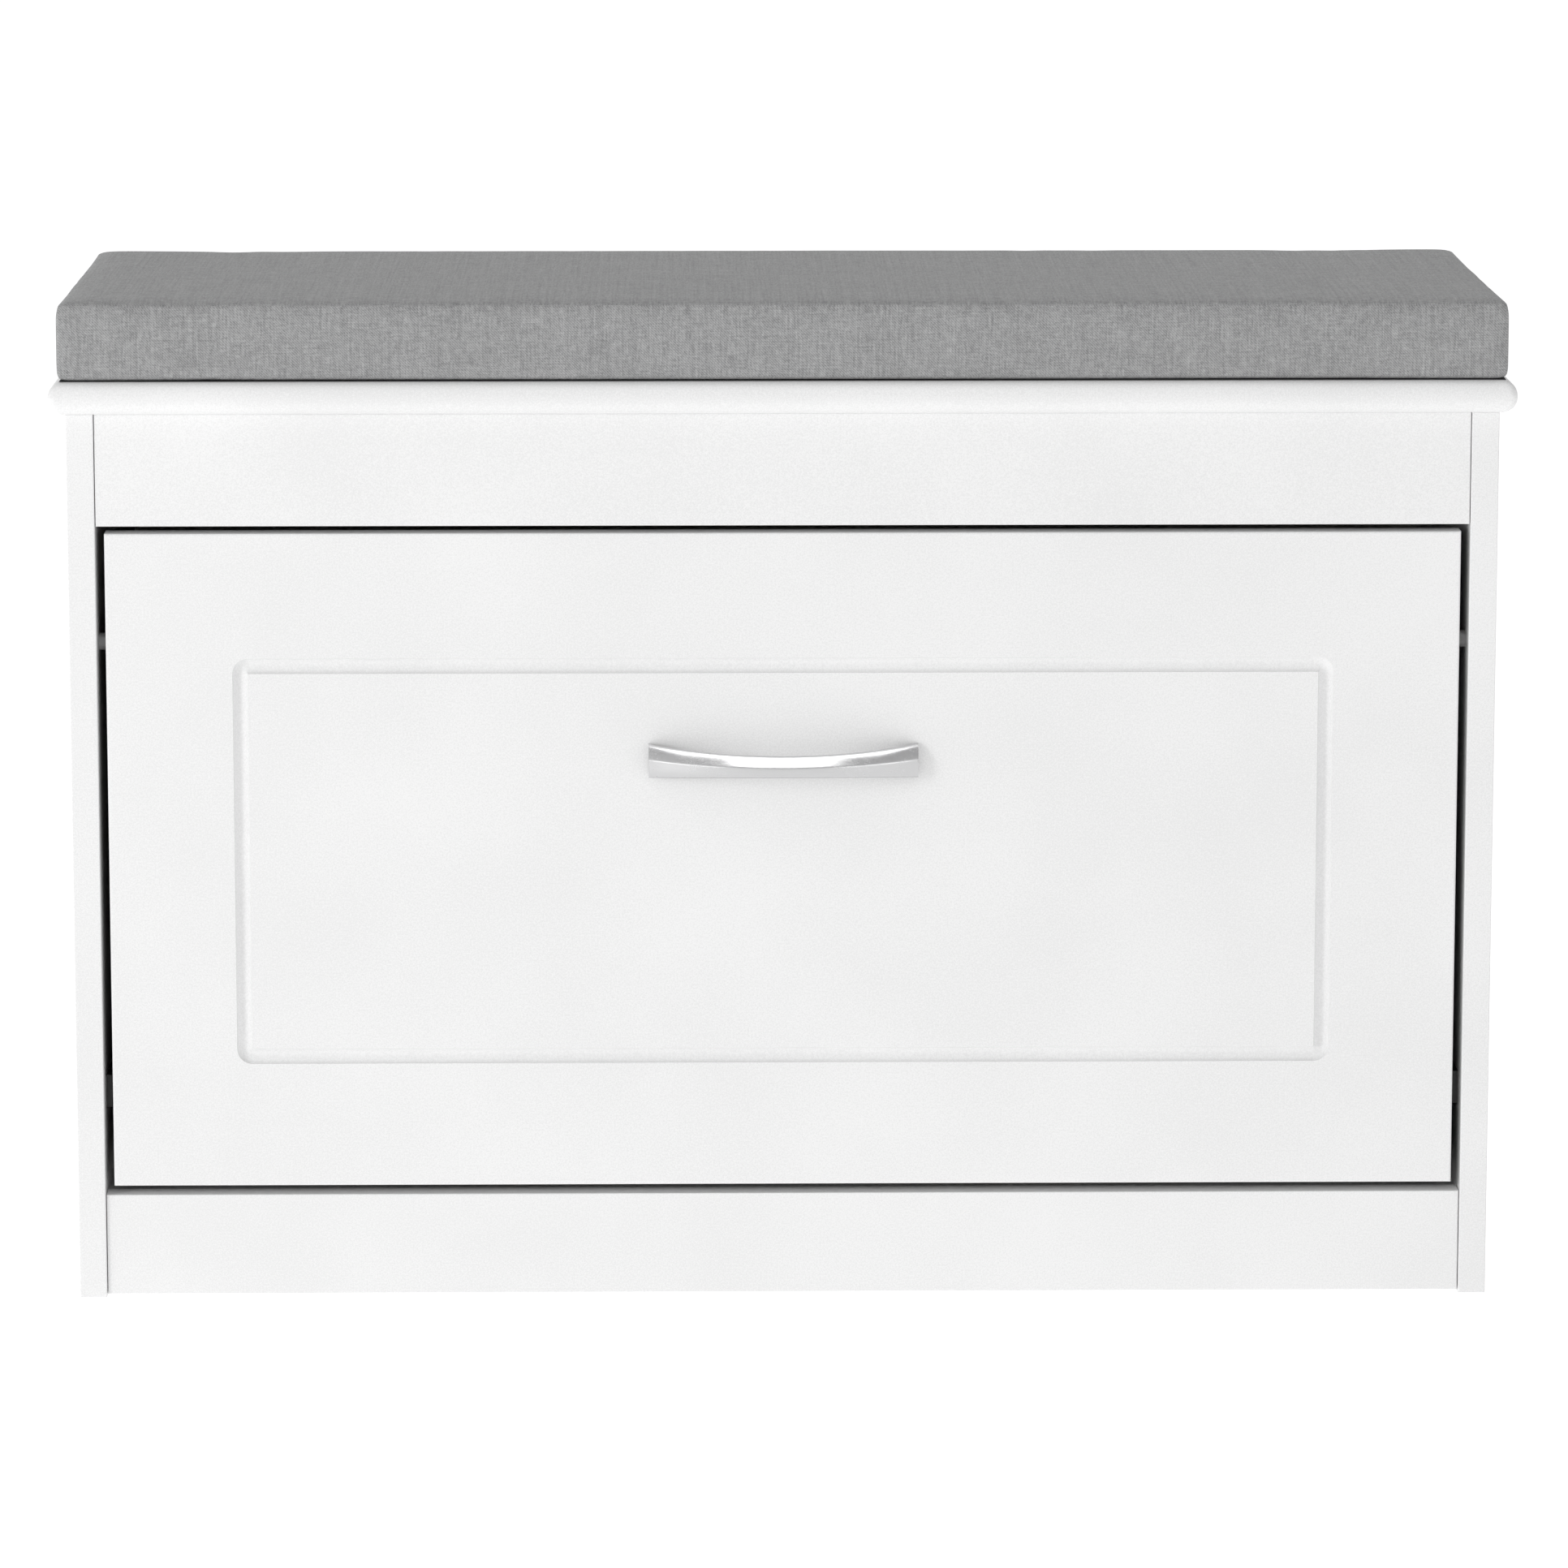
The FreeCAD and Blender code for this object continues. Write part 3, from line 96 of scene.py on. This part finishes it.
def noise(tree, vector, scale, detail=2.0, roughness=0.5):
    made = node(tree, "ShaderNodeTexNoise")
    made.inputs["Scale"].default_value = scale
    made.inputs["Detail"].default_value = detail
    made.inputs["Roughness"].default_value = roughness
    wire(tree, vector, made.inputs["Vector"])
    return made.outputs["Fac"]


def remap(tree, value, low, high, to_low=0.0, to_high=1.0):
    made = node(tree, "ShaderNodeMapRange")
    made.inputs["From Min"].default_value = low
    made.inputs["From Max"].default_value = high
    made.inputs["To Min"].default_value = to_low
    made.inputs["To Max"].default_value = to_high
    wire(tree, value, made.inputs["Value"])
    return made.outputs["Result"]


def blend_colours(tree, share, first, second):
    """Mix two colours, given as tuples or sockets, by a share socket."""
    made = node(tree, "ShaderNodeMix", data_type="RGBA")
    wire(tree, share, made.inputs["Factor"])
    for name, colour in (("A", first), ("B", second)):
        socket = [s for s in made.inputs if s.name == name and s.type == "RGBA"][0]
        if isinstance(colour, tuple):
            socket.default_value = (*colour, 1.0)
        else:
            wire(tree, colour, socket)
    return [s for s in made.outputs if s.type == "RGBA"][0]


def bump(tree, shader, height, strength, distance):
    """Relief from a height socket; the distance is in metres."""
    made = node(tree, "ShaderNodeBump")
    made.inputs["Strength"].default_value = strength
    made.inputs["Distance"].default_value = distance
    wire(tree, height, made.inputs["Height"])
    wire(tree, made.outputs["Normal"], shader.inputs["Normal"])


# ------------------------------------------------------------------- materials


def board_material(name, colour, grain=1.0, roughness=0.42):
    """Foil-faced board: a fine pebbled print in the gloss, with a faint cloudy tint."""
    material, tree, shader = new_material(name)
    where = coordinates(tree)
    pebble = noise(tree, where, 1000.0, 2.0, 0.6)
    fine = noise(tree, where, 1900.0, 1.0, 0.5)
    cloud = noise(tree, where, 9.0, 3.0, 0.5)
    darker = tuple(channel * 0.93 for channel in colour)
    lighter = tuple(min(channel * 1.02, 1.0) for channel in colour)
    speckle = math_node(
        tree, "ADD",
        math_node(tree, "MULTIPLY", pebble, 0.6),
        math_node(tree, "MULTIPLY", fine, 0.4),
    )
    tint = math_node(tree, "ADD", speckle, math_node(tree, "MULTIPLY", cloud, 0.25))
    share = remap(tree, tint, 0.53, 0.72)
    wire(tree, blend_colours(tree, share, darker, lighter), shader.inputs["Base Color"])
    wire(tree, remap(tree, pebble, 0.3, 0.7, roughness - 0.05, roughness + 0.08), shader.inputs["Roughness"])
    shader.inputs["Specular IOR Level"].default_value = 0.35
    bump(tree, shader, speckle, 0.5 * grain, 0.00022)
    return material


def hardboard_material():
    """The back sheet: a white print over pressed fibre, with small flecks."""
    material, tree, shader = new_material("white_hardboard")
    where = coordinates(tree)
    fleck = noise(tree, where, 420.0, 3.0, 0.6)
    fibre = noise(tree, coordinates(tree, (1, 1, 0.25)), 900.0, 3.0, 0.6)
    share = remap(tree, fleck, 0.3, 0.7)
    print_colour = blend_colours(tree, share, (0.70, 0.69, 0.67), (0.76, 0.755, 0.74))
    wire(tree, print_colour, shader.inputs["Base Color"])
    shader.inputs["Roughness"].default_value = 0.62
    bump(tree, shader, fibre, 0.4, 0.0002)
    return material


def linen_material():
    """Heathered linen: a fine diagonal twill, short slubs both ways, and soft heather blotches."""
    material, tree, shader = new_material("linen_cover")
    weave = coordinates(tree, (1, 1, 1), "UV")
    separate = node(tree, "ShaderNodeSeparateXYZ")
    wire(tree, weave, separate.inputs[0])
    u, v = separate.outputs[0], separate.outputs[1]

    def wave(value):
        turned = math_node(tree, "SINE", math_node(tree, "MULTIPLY", value, 2 * math.pi))
        return remap(tree, turned, -1.0, 1.0)

    def threads(along, across, detail=2.0):
        return noise(tree, coordinates(tree, (along, across, 1), "UV"), 1.0, detail, 0.55)

    wobble = math_node(tree, "MULTIPLY", noise(tree, weave, 240.0, 2.0, 0.5), 0.8 * MM)
    diagonal = math_node(tree, "ADD", math_node(tree, "ADD", u, v), wobble)
    twill = wave(math_node(tree, "MULTIPLY", diagonal, 1 / TWILL_PITCH))
    weft = wave(math_node(tree, "MULTIPLY", math_node(tree, "ADD", v, wobble), 1 / YARN_PITCH))
    fuzz = noise(tree, weave, 1500.0, 2.0, 0.6)
    blotch = noise(tree, weave, 150.0, 2.0, 0.5)
    patch = noise(tree, weave, 26.0, 2.0, 0.5)

    tone = math_node(tree, "MULTIPLY", twill, 0.30)
    for part, amount in (
        (weft, 0.08),
        (threads(1000, 140), 0.60),
        (threads(160, 1000), 0.55),
        (threads(480, 24, 1.0), 0.20),
        (threads(36, 90, 1.0), 0.14),
        (threads(900, 6, 1.0), 0.30),
        (threads(40, 480, 1.0), 0.14),
        (noise(tree, weave, 700.0, 2.0, 0.6), 0.45),
        (fuzz, 0.62),
        (blotch, 0.16),
        (patch, 0.08),
    ):
        tone = math_node(tree, "ADD", tone, math_node(tree, "MULTIPLY", part, amount))
    share = remap(tree, tone, 1.51, 2.39)
    wire(tree, blend_colours(tree, share, LINEN_DARK, LINEN_LIGHT), shader.inputs["Base Color"])
    shader.inputs["Roughness"].default_value = 0.92
    shader.inputs["Specular IOR Level"].default_value = 0.2
    shader.inputs["Sheen Weight"].default_value = 0.12
    shader.inputs["Sheen Roughness"].default_value = 0.5
    relief = math_node(
        tree, "ADD",
        math_node(tree, "MULTIPLY", twill, 0.45),
        math_node(tree, "ADD", math_node(tree, "MULTIPLY", fuzz, 0.5), threads(900, 120)),
    )
    bump(tree, shader, relief, 0.5, 0.0003)
    return material


TWILL_PITCH = 1.5 * MM
YARN_PITCH = 0.9 * MM
LINEN_DARK = (0.205, 0.206, 0.208)
LINEN_LIGHT = (0.535, 0.535, 0.537)


def cloth_material(name, dark, light):
    """A plain close-woven technical cloth."""
    material, tree, shader = new_material(name)
    where = coordinates(tree)
    dots = noise(tree, where, 1400.0, 2.0, 0.6)
    patch = noise(tree, where, 60.0, 2.0, 0.5)
    share = remap(tree, math_node(tree, "ADD", dots, math_node(tree, "MULTIPLY", patch, 0.3)), 0.4, 0.9)
    wire(tree, blend_colours(tree, share, dark, light), shader.inputs["Base Color"])
    shader.inputs["Roughness"].default_value = 0.95
    bump(tree, shader, dots, 0.6, 0.0003)
    return material


def metal_material(name, colour, roughness, brush=(8.0, 900.0, 900.0), depth=0.00002):
    """Brushed or satin plated metal, its fine lines running along the X axis."""
    material, tree, shader = new_material(name)
    lines = noise(tree, coordinates(tree, brush), 1.0, 3.0, 0.6)
    smudge = noise(tree, coordinates(tree), 70.0, 2.0, 0.5)
    darker = tuple(channel * 0.93 for channel in colour)
    wire(tree, blend_colours(tree, lines, darker, colour), shader.inputs["Base Color"])
    shader.inputs["Metallic"].default_value = 1.0
    rough = math_node(
        tree, "ADD",
        remap(tree, lines, 0.3, 0.7, -0.03, 0.03),
        remap(tree, smudge, 0.3, 0.7, roughness, roughness + 0.05),
    )
    wire(tree, rough, shader.inputs["Roughness"])
    bump(tree, shader, lines, 0.5, depth)
    return material


def plastic_material(name, colour, roughness=0.45):
    """Moulded plastic with a spark-eroded grain."""
    material, tree, shader = new_material(name)
    where = coordinates(tree)
    grain = noise(tree, where, 1300.0, 2.0, 0.5)
    flow = noise(tree, where, 35.0, 2.0, 0.5)
    darker = tuple(channel * 0.92 for channel in colour)
    share = remap(tree, math_node(tree, "ADD", math_node(tree, "MULTIPLY", grain, 0.3), flow), 0.45, 0.9)
    wire(tree, blend_colours(tree, share, darker, colour), shader.inputs["Base Color"])
    wire(tree, remap(tree, grain, 0.3, 0.7, roughness - 0.05, roughness + 0.07), shader.inputs["Roughness"])
    bump(tree, shader, grain, 0.3, 0.0001)
    return material


def beech_material():
    """Turned beech dowel: grain lines and short dark rays."""
    material, tree, shader = new_material("beech")
    grain = noise(tree, coordinates(tree, (40, 900, 900)), 1.0, 3.0, 0.6)
    ray = noise(tree, coordinates(tree, (300, 1500, 1500)), 1.0, 2.0, 0.5)
    share = remap(tree, math_node(tree, "ADD", grain, math_node(tree, "MULTIPLY", ray, 0.4)), 0.4, 1.0)
    wood_colour = blend_colours(tree, share, (0.42, 0.25, 0.12), (0.66, 0.46, 0.28))
    wire(tree, wood_colour, shader.inputs["Base Color"])
    shader.inputs["Roughness"].default_value = 0.6
    bump(tree, shader, grain, 0.3, 0.0001)
    return material


WHITE = (0.86, 0.86, 0.86)
MATERIALS = {
    "white_laminate": board_material("white_laminate", WHITE),
    "white_hardboard": hardboard_material(),
    "linen_cover": linen_material(),
    "seat_foam": cloth_material("seat_foam", (0.66, 0.58, 0.36), (0.82, 0.75, 0.52)),
    "non_slip_cloth": cloth_material("non_slip_cloth", (0.012, 0.012, 0.013), (0.035, 0.035, 0.037)),
    "satin_nickel": metal_material("satin_nickel", (0.60, 0.60, 0.605), 0.22, depth=0.000008),
    "zinc_steel": metal_material("zinc_steel", (0.62, 0.63, 0.66), 0.3, (300.0, 300.0, 300.0)),
    "cast_zinc": metal_material("cast_zinc", (0.5, 0.5, 0.52), 0.45, (500.0, 500.0, 500.0), 0.00008),
    # Painted shade: the bracket plastic and the nylon are made nearly black, darker than the real parts, so
    # that the shade in the door gaps reads black.
    "bracket_plastic": plastic_material("bracket_plastic", (0.02, 0.02, 0.021)),
    "nylon": plastic_material("nylon", (0.025, 0.025, 0.025), 0.4),
    "grey_sleeve": plastic_material("grey_sleeve", (0.38, 0.38, 0.38), 0.5),
    "beech": beech_material(),
}


def finish_cad_nodes():
    """Every carried-over node takes its slot's material."""
    for part in frame["record"]["subparts"]:
        mesh = frame["nodes"][part["node"]].data
        mesh.materials.clear()
        mesh.materials.append(MATERIALS[part["material_slot"]])


# --------------------------------------------------------------------- cushion


def link(mesh, name):
    piece = bpy.data.objects.new(name, mesh)
    bpy.context.scene.collection.objects.link(piece)
    return piece


def activate(piece):
    bpy.ops.object.select_all(action="DESELECT")
    piece.select_set(True)
    bpy.context.view_layer.objects.active = piece


def rounded_block(name, low, high, radius, segments=3):
    """A closed block with rounded edges."""
    shape = bmesh.new()
    bmesh.ops.create_cube(shape, size=1.0)
    for vertex in shape.verts:
        for axis in range(3):
            vertex.co[axis] = high[axis] if vertex.co[axis] > 0 else low[axis]
    bmesh.ops.bevel(
        shape, geom=shape.edges[:], offset=radius, segments=segments,
        profile=0.5, affect="EDGES",
    )
    mesh = bpy.data.meshes.new(name)
    shape.to_mesh(mesh)
    shape.free()
    return link(mesh, name)


BASE_THICK = 0.3 * MM
BASE_MARGIN = 1.5 * MM
CUSHION_VOXEL = 4 * MM
CUSHION_START_INSET = 1.2 * MM
CUSHION_SWELL_LIMIT = 1.2 * MM
CUSHION_CORNER = 4.4 * MM
SEAM_DEPTH = 0.5 * MM
SEAM_WIDTH = 1.4 * MM
CLOTH_QUALITY = 6
CLOTH_PRESSURE = 4.0
CLOTH_STIFFNESS = 40.0
CLOTH_BENDING = 4.0
CLOTH_FRAMES = 20


def inflate(piece):
    """Blow the foam-filled cover up a little against its own cloth, and cap how far it moves."""
    start = [vertex.co.copy() for vertex in piece.data.vertices]
    cloth = piece.modifiers.new("Cloth", "CLOTH")
    settings = cloth.settings
    settings.quality = CLOTH_QUALITY
    settings.use_pressure = True
    settings.uniform_pressure_force = CLOTH_PRESSURE
    settings.tension_stiffness = CLOTH_STIFFNESS
    settings.compression_stiffness = CLOTH_STIFFNESS
    settings.bending_stiffness = CLOTH_BENDING
    settings.effector_weights.gravity = 0.0
    cloth.point_cache.frame_start = 1
    cloth.point_cache.frame_end = CLOTH_FRAMES
    scene = bpy.context.scene
    for number in range(1, CLOTH_FRAMES + 1):
        scene.frame_set(number)
    evaluated = piece.evaluated_get(bpy.context.evaluated_depsgraph_get())
    moved = [vertex.co.copy() for vertex in evaluated.data.vertices]
    piece.modifiers.remove(cloth)
    scene.frame_set(1)
    for vertex, before, after in zip(piece.data.vertices, start, moved):
        step = after - before
        if step.length > CUSHION_SWELL_LIMIT:
            step = step.normalized() * CUSHION_SWELL_LIMIT
        vertex.co = before + step


def settle_cushion(piece, low, high):
    """Flatten the base, round its lower edge, keep the cover in its space, and press the top seam in."""
    for vertex in piece.data.vertices:
        co = vertex.co
        for axis in range(3):
            co[axis] = min(max(co[axis], low[axis]), high[axis])
        from_rest = min(co.z - low.z, CUSHION_CORNER)
        below_round = CUSHION_CORNER - from_rest
        tuck = CUSHION_CORNER - math.sqrt(CUSHION_CORNER ** 2 - below_round ** 2)
        co.x = min(max(co.x, low.x + tuck), high.x - tuck)
        co.y = min(max(co.y, low.y + tuck), high.y - tuck)
        from_top = high.z - co.z
        to_side = min(co.x - low.x, high.x - co.x, co.y - low.y, high.y - co.y)
        if to_side < CUSHION_CORNER and from_top < 3 * CUSHION_CORNER:
            off_seam = abs(from_top - CUSHION_CORNER)
            press = SEAM_DEPTH * math.exp(-((off_seam / SEAM_WIDTH) ** 2))
            centre = Vector(((low.x + high.x) / 2, (low.y + high.y) / 2, co.z))
            if min(co.x - low.x, high.x - co.x) < CUSHION_CORNER:
                co.x += math.copysign(press, centre.x - co.x)
            if min(co.y - low.y, high.y - co.y) < CUSHION_CORNER:
                co.y += math.copysign(press, centre.y - co.y)


def unfold_cloth(mesh):
    """Lay UVs in metres, so that the yarns run over the top edge and down each side."""
    layer = mesh.uv_layers.new(name="weave")
    for face in mesh.polygons:
        normal = face.normal
        flat = abs(normal.z) >= max(abs(normal.x), abs(normal.y))
        facing_end = abs(normal.x) > abs(normal.y)
        for loop in face.loop_indices:
            co = mesh.vertices[mesh.loops[loop].vertex_index].co
            if flat:
                layer.data[loop].uv = (co.x, co.y)
            elif facing_end:
                layer.data[loop].uv = (co.y, co.z)
            else:
                layer.data[loop].uv = (co.x, co.z)


def make_cushion():
    """The linen cushion: a box form swollen a little by its foam."""
    low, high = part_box("cushion_cover")
    rest = low.z + BASE_THICK
    inset = Vector((1, 1, 1)) * CUSHION_START_INSET
    start_low = Vector((low.x, low.y, rest)) + Vector((inset.x, inset.y, 0))
    piece = rounded_block("linen_cushion", start_low, high - inset, CUSHION_CORNER, 4)
    activate(piece)
    piece.data.remesh_voxel_size = CUSHION_VOXEL
    bpy.ops.object.voxel_remesh()
    inflate(piece)
    settle_cushion(piece, Vector((low.x, low.y, rest)), high)
    subdivide = piece.modifiers.new("Subdivision", "SUBSURF")
    subdivide.levels = 1
    subdivide.render_levels = 1
    activate(piece)
    bpy.ops.object.modifier_apply(modifier="Subdivision")
    unfold_cloth(piece.data)
    piece.data.shade_smooth()
    piece.data.materials.append(MATERIALS["linen_cover"])
    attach(piece, "carcass")
    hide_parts("cushion_cover", "cushion_foam")
    return piece


def make_base_cloth():
    """The dark non-slip cloth under the cushion, stopping just short of its edges."""
    low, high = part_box("cushion_base_cloth")
    high.z = low.z + 1.2 * BASE_THICK
    margin = Vector((BASE_MARGIN, BASE_MARGIN, 0))
    piece = rounded_block("non_slip_base", low + margin, high - margin, 0.1 * MM, 2)
    piece.data.materials.append(MATERIALS["non_slip_cloth"])
    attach(piece, "carcass")
    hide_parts("cushion_base_cloth")
    return piece


# ---------------------------------------------------------------------- handle


def handle_outline(share):
    """The bow handle's section at a share (0 middle, 1 end) of its half length.

    Each point is (how far forward of the rear, height over the screws), in metres: a flat lower
    band stands upright at the front, and an upper facet leans back from the ridge over it.
    """
    bottom = (BAR_BOTTOM + BAR_BOTTOM_FLARE * share ** BAR_BOW_BEND) * MM
    top = (BAR_TOP + BAR_TOP_FLARE * share ** BAR_TOP_BEND) * MM
    ridge = bottom + (top - bottom) * (0.42 + 0.08 * share)
    thick = BAR_THICK * MM
    outline = [
        (thick * 0.90, bottom + 0.12 * MM),
        (thick * 0.97, bottom + 0.5 * MM),
        (thick * 0.995, bottom + 1.3 * MM),
        (thick, (bottom + ridge) / 2 + 0.3 * MM),
        (thick, ridge),
    ]
    forward = thick
    before = 0.0
    for rise, lean in UPPER_FACET:
        forward -= (rise - before) * (top - ridge) * math.tan(math.radians(lean))
        outline.append((forward, ridge + rise * (top - ridge)))
        before = rise
    outline += [
        (0.3 * MM, top - 0.1 * MM),
        (0.0, top - 0.5 * MM),
        (thick * 0.14, (top + bottom) / 2 + 2 * MM),
        (thick * 0.26, (top + bottom) / 2 - 2 * MM),
        (thick * 0.42, bottom + 0.4 * MM),
        (thick * 0.66, bottom),
    ]
    return outline


# The upper facet from ridge to top: (share of its height, lean from upright in degrees).
UPPER_FACET = (
    (0.06, 5), (0.12, 12), (0.20, 20), (0.38, 24), (0.56, 26), (0.70, 29),
    (0.80, 33), (0.88, 39), (0.93, 48), (0.97, 58), (1.0, 70),
)
BAR_BOTTOM = -6.0
BAR_BOTTOM_FLARE = -3.1
BAR_TOP = 5.3
BAR_TOP_FLARE = 3.8
BAR_TOP_BEND = 1.8
BAR_BOW_BEND = 2.6
BAR_THICK = 6.8
HANDLE_STATIONS = 73
CREASE_ANGLE = math.radians(38)
# Each foot's turned outline: (radius, distance in front of the door), in mm.
FOOT_PROFILE = ((5.4, 0.0), (5.4, 0.6), (4.6, 1.4), (4.4, 4.0), (4.6, 7.5), (0.0, 7.5))
FOOT_TURNS = 40
SCREW_HEAD_RADIUS = 4 * MM


def make_handle():
    """The bow bar, lofted from end to end, and its two feet."""
    low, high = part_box("handle")
    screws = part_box("handle_screws")
    middle = (screws[0].z + screws[1].z) / 2
    half = (high.x - low.x) / 2
    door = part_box("door_panel")[0].y
    reach = door - low.y
    shape = bmesh.new()
    rings = []
    for number in range(HANDLE_STATIONS):
        across = -1 + 2 * number / (HANDLE_STATIONS - 1)
        share = abs(across)
        outline = handle_outline(share)
        thick = max(forward for forward, _ in outline)
        rear = door - (reach - thick) * (1 - share ** BAR_BOW_BEND)
        x = (low.x + high.x) / 2 + across * half
        rings.append([shape.verts.new((x, rear - forward, middle + up)) for forward, up in outline])
    for before, after in zip(rings, rings[1:]):
        for number in range(len(before)):
            following = (number + 1) % len(before)
            shape.faces.new((before[number], before[following], after[following], after[number]))
    shape.faces.new(rings[0][::-1])
    shape.faces.new(rings[-1])
    bmesh.ops.recalc_face_normals(shape, faces=shape.faces)
    mesh = bpy.data.meshes.new("bow_handle")
    shape.to_mesh(mesh)
    shape.free()
    piece = link(mesh, "bow_handle")
    mesh.shade_smooth()
    mesh.materials.append(MATERIALS["satin_nickel"])
    feet = []
    for side in (-1, 1):
        feet.append(handle_foot(side, door))
    activate(piece)
    for foot in feet:
        foot.select_set(True)
    bpy.ops.object.join()
    crease = piece.modifiers.new("Crease", "EDGE_SPLIT")
    crease.split_angle = CREASE_ANGLE
    activate(piece)
    bpy.ops.object.modifier_apply(modifier="Crease")
    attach(piece, "tilt_drawer")
    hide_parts("handle")
    return piece


def handle_foot(side, door):
    """A turned post between the door and the bar, round the screw."""
    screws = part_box("handle_screws")
    x = (screws[1].x - SCREW_HEAD_RADIUS) * side
    z = (screws[0].z + screws[1].z) / 2
    shape = bmesh.new()
    rings = []
    for radius, forward in FOOT_PROFILE:
        ring = []
        for step in range(FOOT_TURNS):
            angle = 2 * math.pi * step / FOOT_TURNS
            ring.append(shape.verts.new((
                x + radius * MM * math.cos(angle),
                door - forward * MM,
                z + radius * MM * math.sin(angle),
            )))
        rings.append(ring)
    for before, after in zip(rings, rings[1:]):
        for number in range(FOOT_TURNS):
            following = (number + 1) % FOOT_TURNS
            shape.faces.new((before[number], before[following], after[following], after[number]))
    shape.faces.new(rings[0])
    bmesh.ops.remove_doubles(shape, verts=shape.verts, dist=0.01 * MM)
    bmesh.ops.recalc_face_normals(shape, faces=shape.faces)
    mesh = bpy.data.meshes.new("handle_foot")
    shape.to_mesh(mesh)
    shape.free()
    mesh.materials.append(MATERIALS["satin_nickel"])
    mesh.shade_smooth()
    return link(mesh, "handle_foot")


# ------------------------------------------------------------ floor and lights


def make_floor():
    """A pale, softly glowing studio floor, like a light table turned low."""
    far = FLOOR_REACH
    mesh = bpy.data.meshes.new("floor")
    corners = [(-far, -far, 0), (far, -far, 0), (far, far, 0), (-far, far, 0)]
    mesh.from_pydata(corners, [], [(0, 1, 2, 3)])
    floor = link(mesh, "floor")
    material, tree, shader = new_material("pale_floor")
    share = noise(tree, coordinates(tree), 1.5, 2.0, 0.5)
    floor_colour = blend_colours(tree, share, (0.58, 0.58, 0.58), (0.62, 0.62, 0.62))
    wire(tree, floor_colour, shader.inputs["Base Color"])
    shader.inputs["Roughness"].default_value = 0.9
    shader.inputs["Specular IOR Level"].default_value = 0.1
    shader.inputs["Emission Color"].default_value = (1.0, 1.0, 1.0, 1.0)
    shader.inputs["Emission Strength"].default_value = FLOOR_GLOW
    mesh.materials.append(material)


FLOOR_REACH = 24.0
FLOOR_GLOW = 0.72
WALL_LIGHT = 0.96
CEILING_LIGHT = 0.58
LEFT_SHARE = 1.03
RIGHT_SHARE = 0.78
# name, place, target, size, watts
LAMPS = (
    ("key", (-2.95, -2.2, 0.9), (0, 0, 0.3), (0.9, 0.9), 31),
    ("back", (0, 1.2, 1.0), (0, 0.1, 0.5), (1.8, 0.5), 2.5),
)
# Cards that only the metal sees, as a studio's reflectors.
CARDS = (
    ("front_card", (0, -2.0, 2.1), (0, -0.15, 0.3), (1.3, 1.0), 14),
    ("roof_strip", (0, -0.6, 2.3), (0, -0.6, 0.3), (3.8, 1.7), 46),
    ("left_card", (-1.84, -1.99, 0.67), (0, -0.15, 0.3), (2.4, 0.4), 5),
    ("right_card", (1.84, -1.99, 0.67), (0, -0.15, 0.3), (2.4, 0.4), 5),
)


def area_light(name, place, target, size, power):
    light = bpy.data.lights.new(name, "AREA")
    light.shape = "RECTANGLE"
    light.size, light.size_y = size
    light.energy = power
    lamp = bpy.data.objects.new(name, light)
    bpy.context.scene.collection.objects.link(lamp)
    lamp.location = place
    lamp.visible_camera = False
    lamp.rotation_euler = (Vector(target) - Vector(place)).to_track_quat("-Z", "Y").to_euler()
    return lamp


def make_lights():
    """White walls all round, a dimmer ceiling, and a soft key from the front left."""
    world = bpy.data.worlds.new("studio")
    bpy.context.scene.world = world
    world.use_nodes = True
    tree = world.node_tree
    background = tree.nodes["Background"]
    direction = node(tree, "ShaderNodeTexCoord")
    separate = node(tree, "ShaderNodeSeparateXYZ")
    wire(tree, direction.outputs["Generated"], separate.inputs[0])
    height = remap(tree, separate.outputs[2], 0.05, 0.6)
    wall = (WALL_LIGHT,) * 3
    ceiling = (CEILING_LIGHT,) * 3
    wire(tree, blend_colours(tree, height, wall, ceiling), background.inputs["Color"])
    across = remap(tree, separate.outputs[0], -1.0, 1.0, LEFT_SHARE, RIGHT_SHARE)
    wire(tree, across, background.inputs["Strength"])
    for lamp in LAMPS:
        area_light(*lamp).visible_glossy = False
    for card in CARDS:
        area_light(*card).visible_diffuse = False


SENSOR = 36.0
LENS = 165.317
CAMERA_BACK = 3.9
CAMERA_SIDE = -0.055
CAMERA_HEIGHT = 0.970
AIM_SIDE = 0.0003
AIM_HEIGHT = 0.2909


def make_camera():
    """In front of the bench and a little above it, far off with a long lens."""
    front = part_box("left_side_panel")[0].y
    camera = bpy.data.cameras.new("photo_camera")
    camera.sensor_width = SENSOR
    camera.lens = LENS
    seat = bpy.data.objects.new("photo_camera", camera)
    bpy.context.scene.collection.objects.link(seat)
    place = Vector((CAMERA_SIDE, front - CAMERA_BACK, CAMERA_HEIGHT))
    target = Vector((AIM_SIDE, front, AIM_HEIGHT))
    seat.location = place
    seat.rotation_euler = (target - place).to_track_quat("-Z", "Y").to_euler()
    bpy.context.scene.camera = seat


make_camera()
make_floor()
make_lights()
finish_cad_nodes()
make_cushion()
make_base_cloth()
make_handle()

scene = bpy.context.scene
scene.view_settings.view_transform = "Standard"
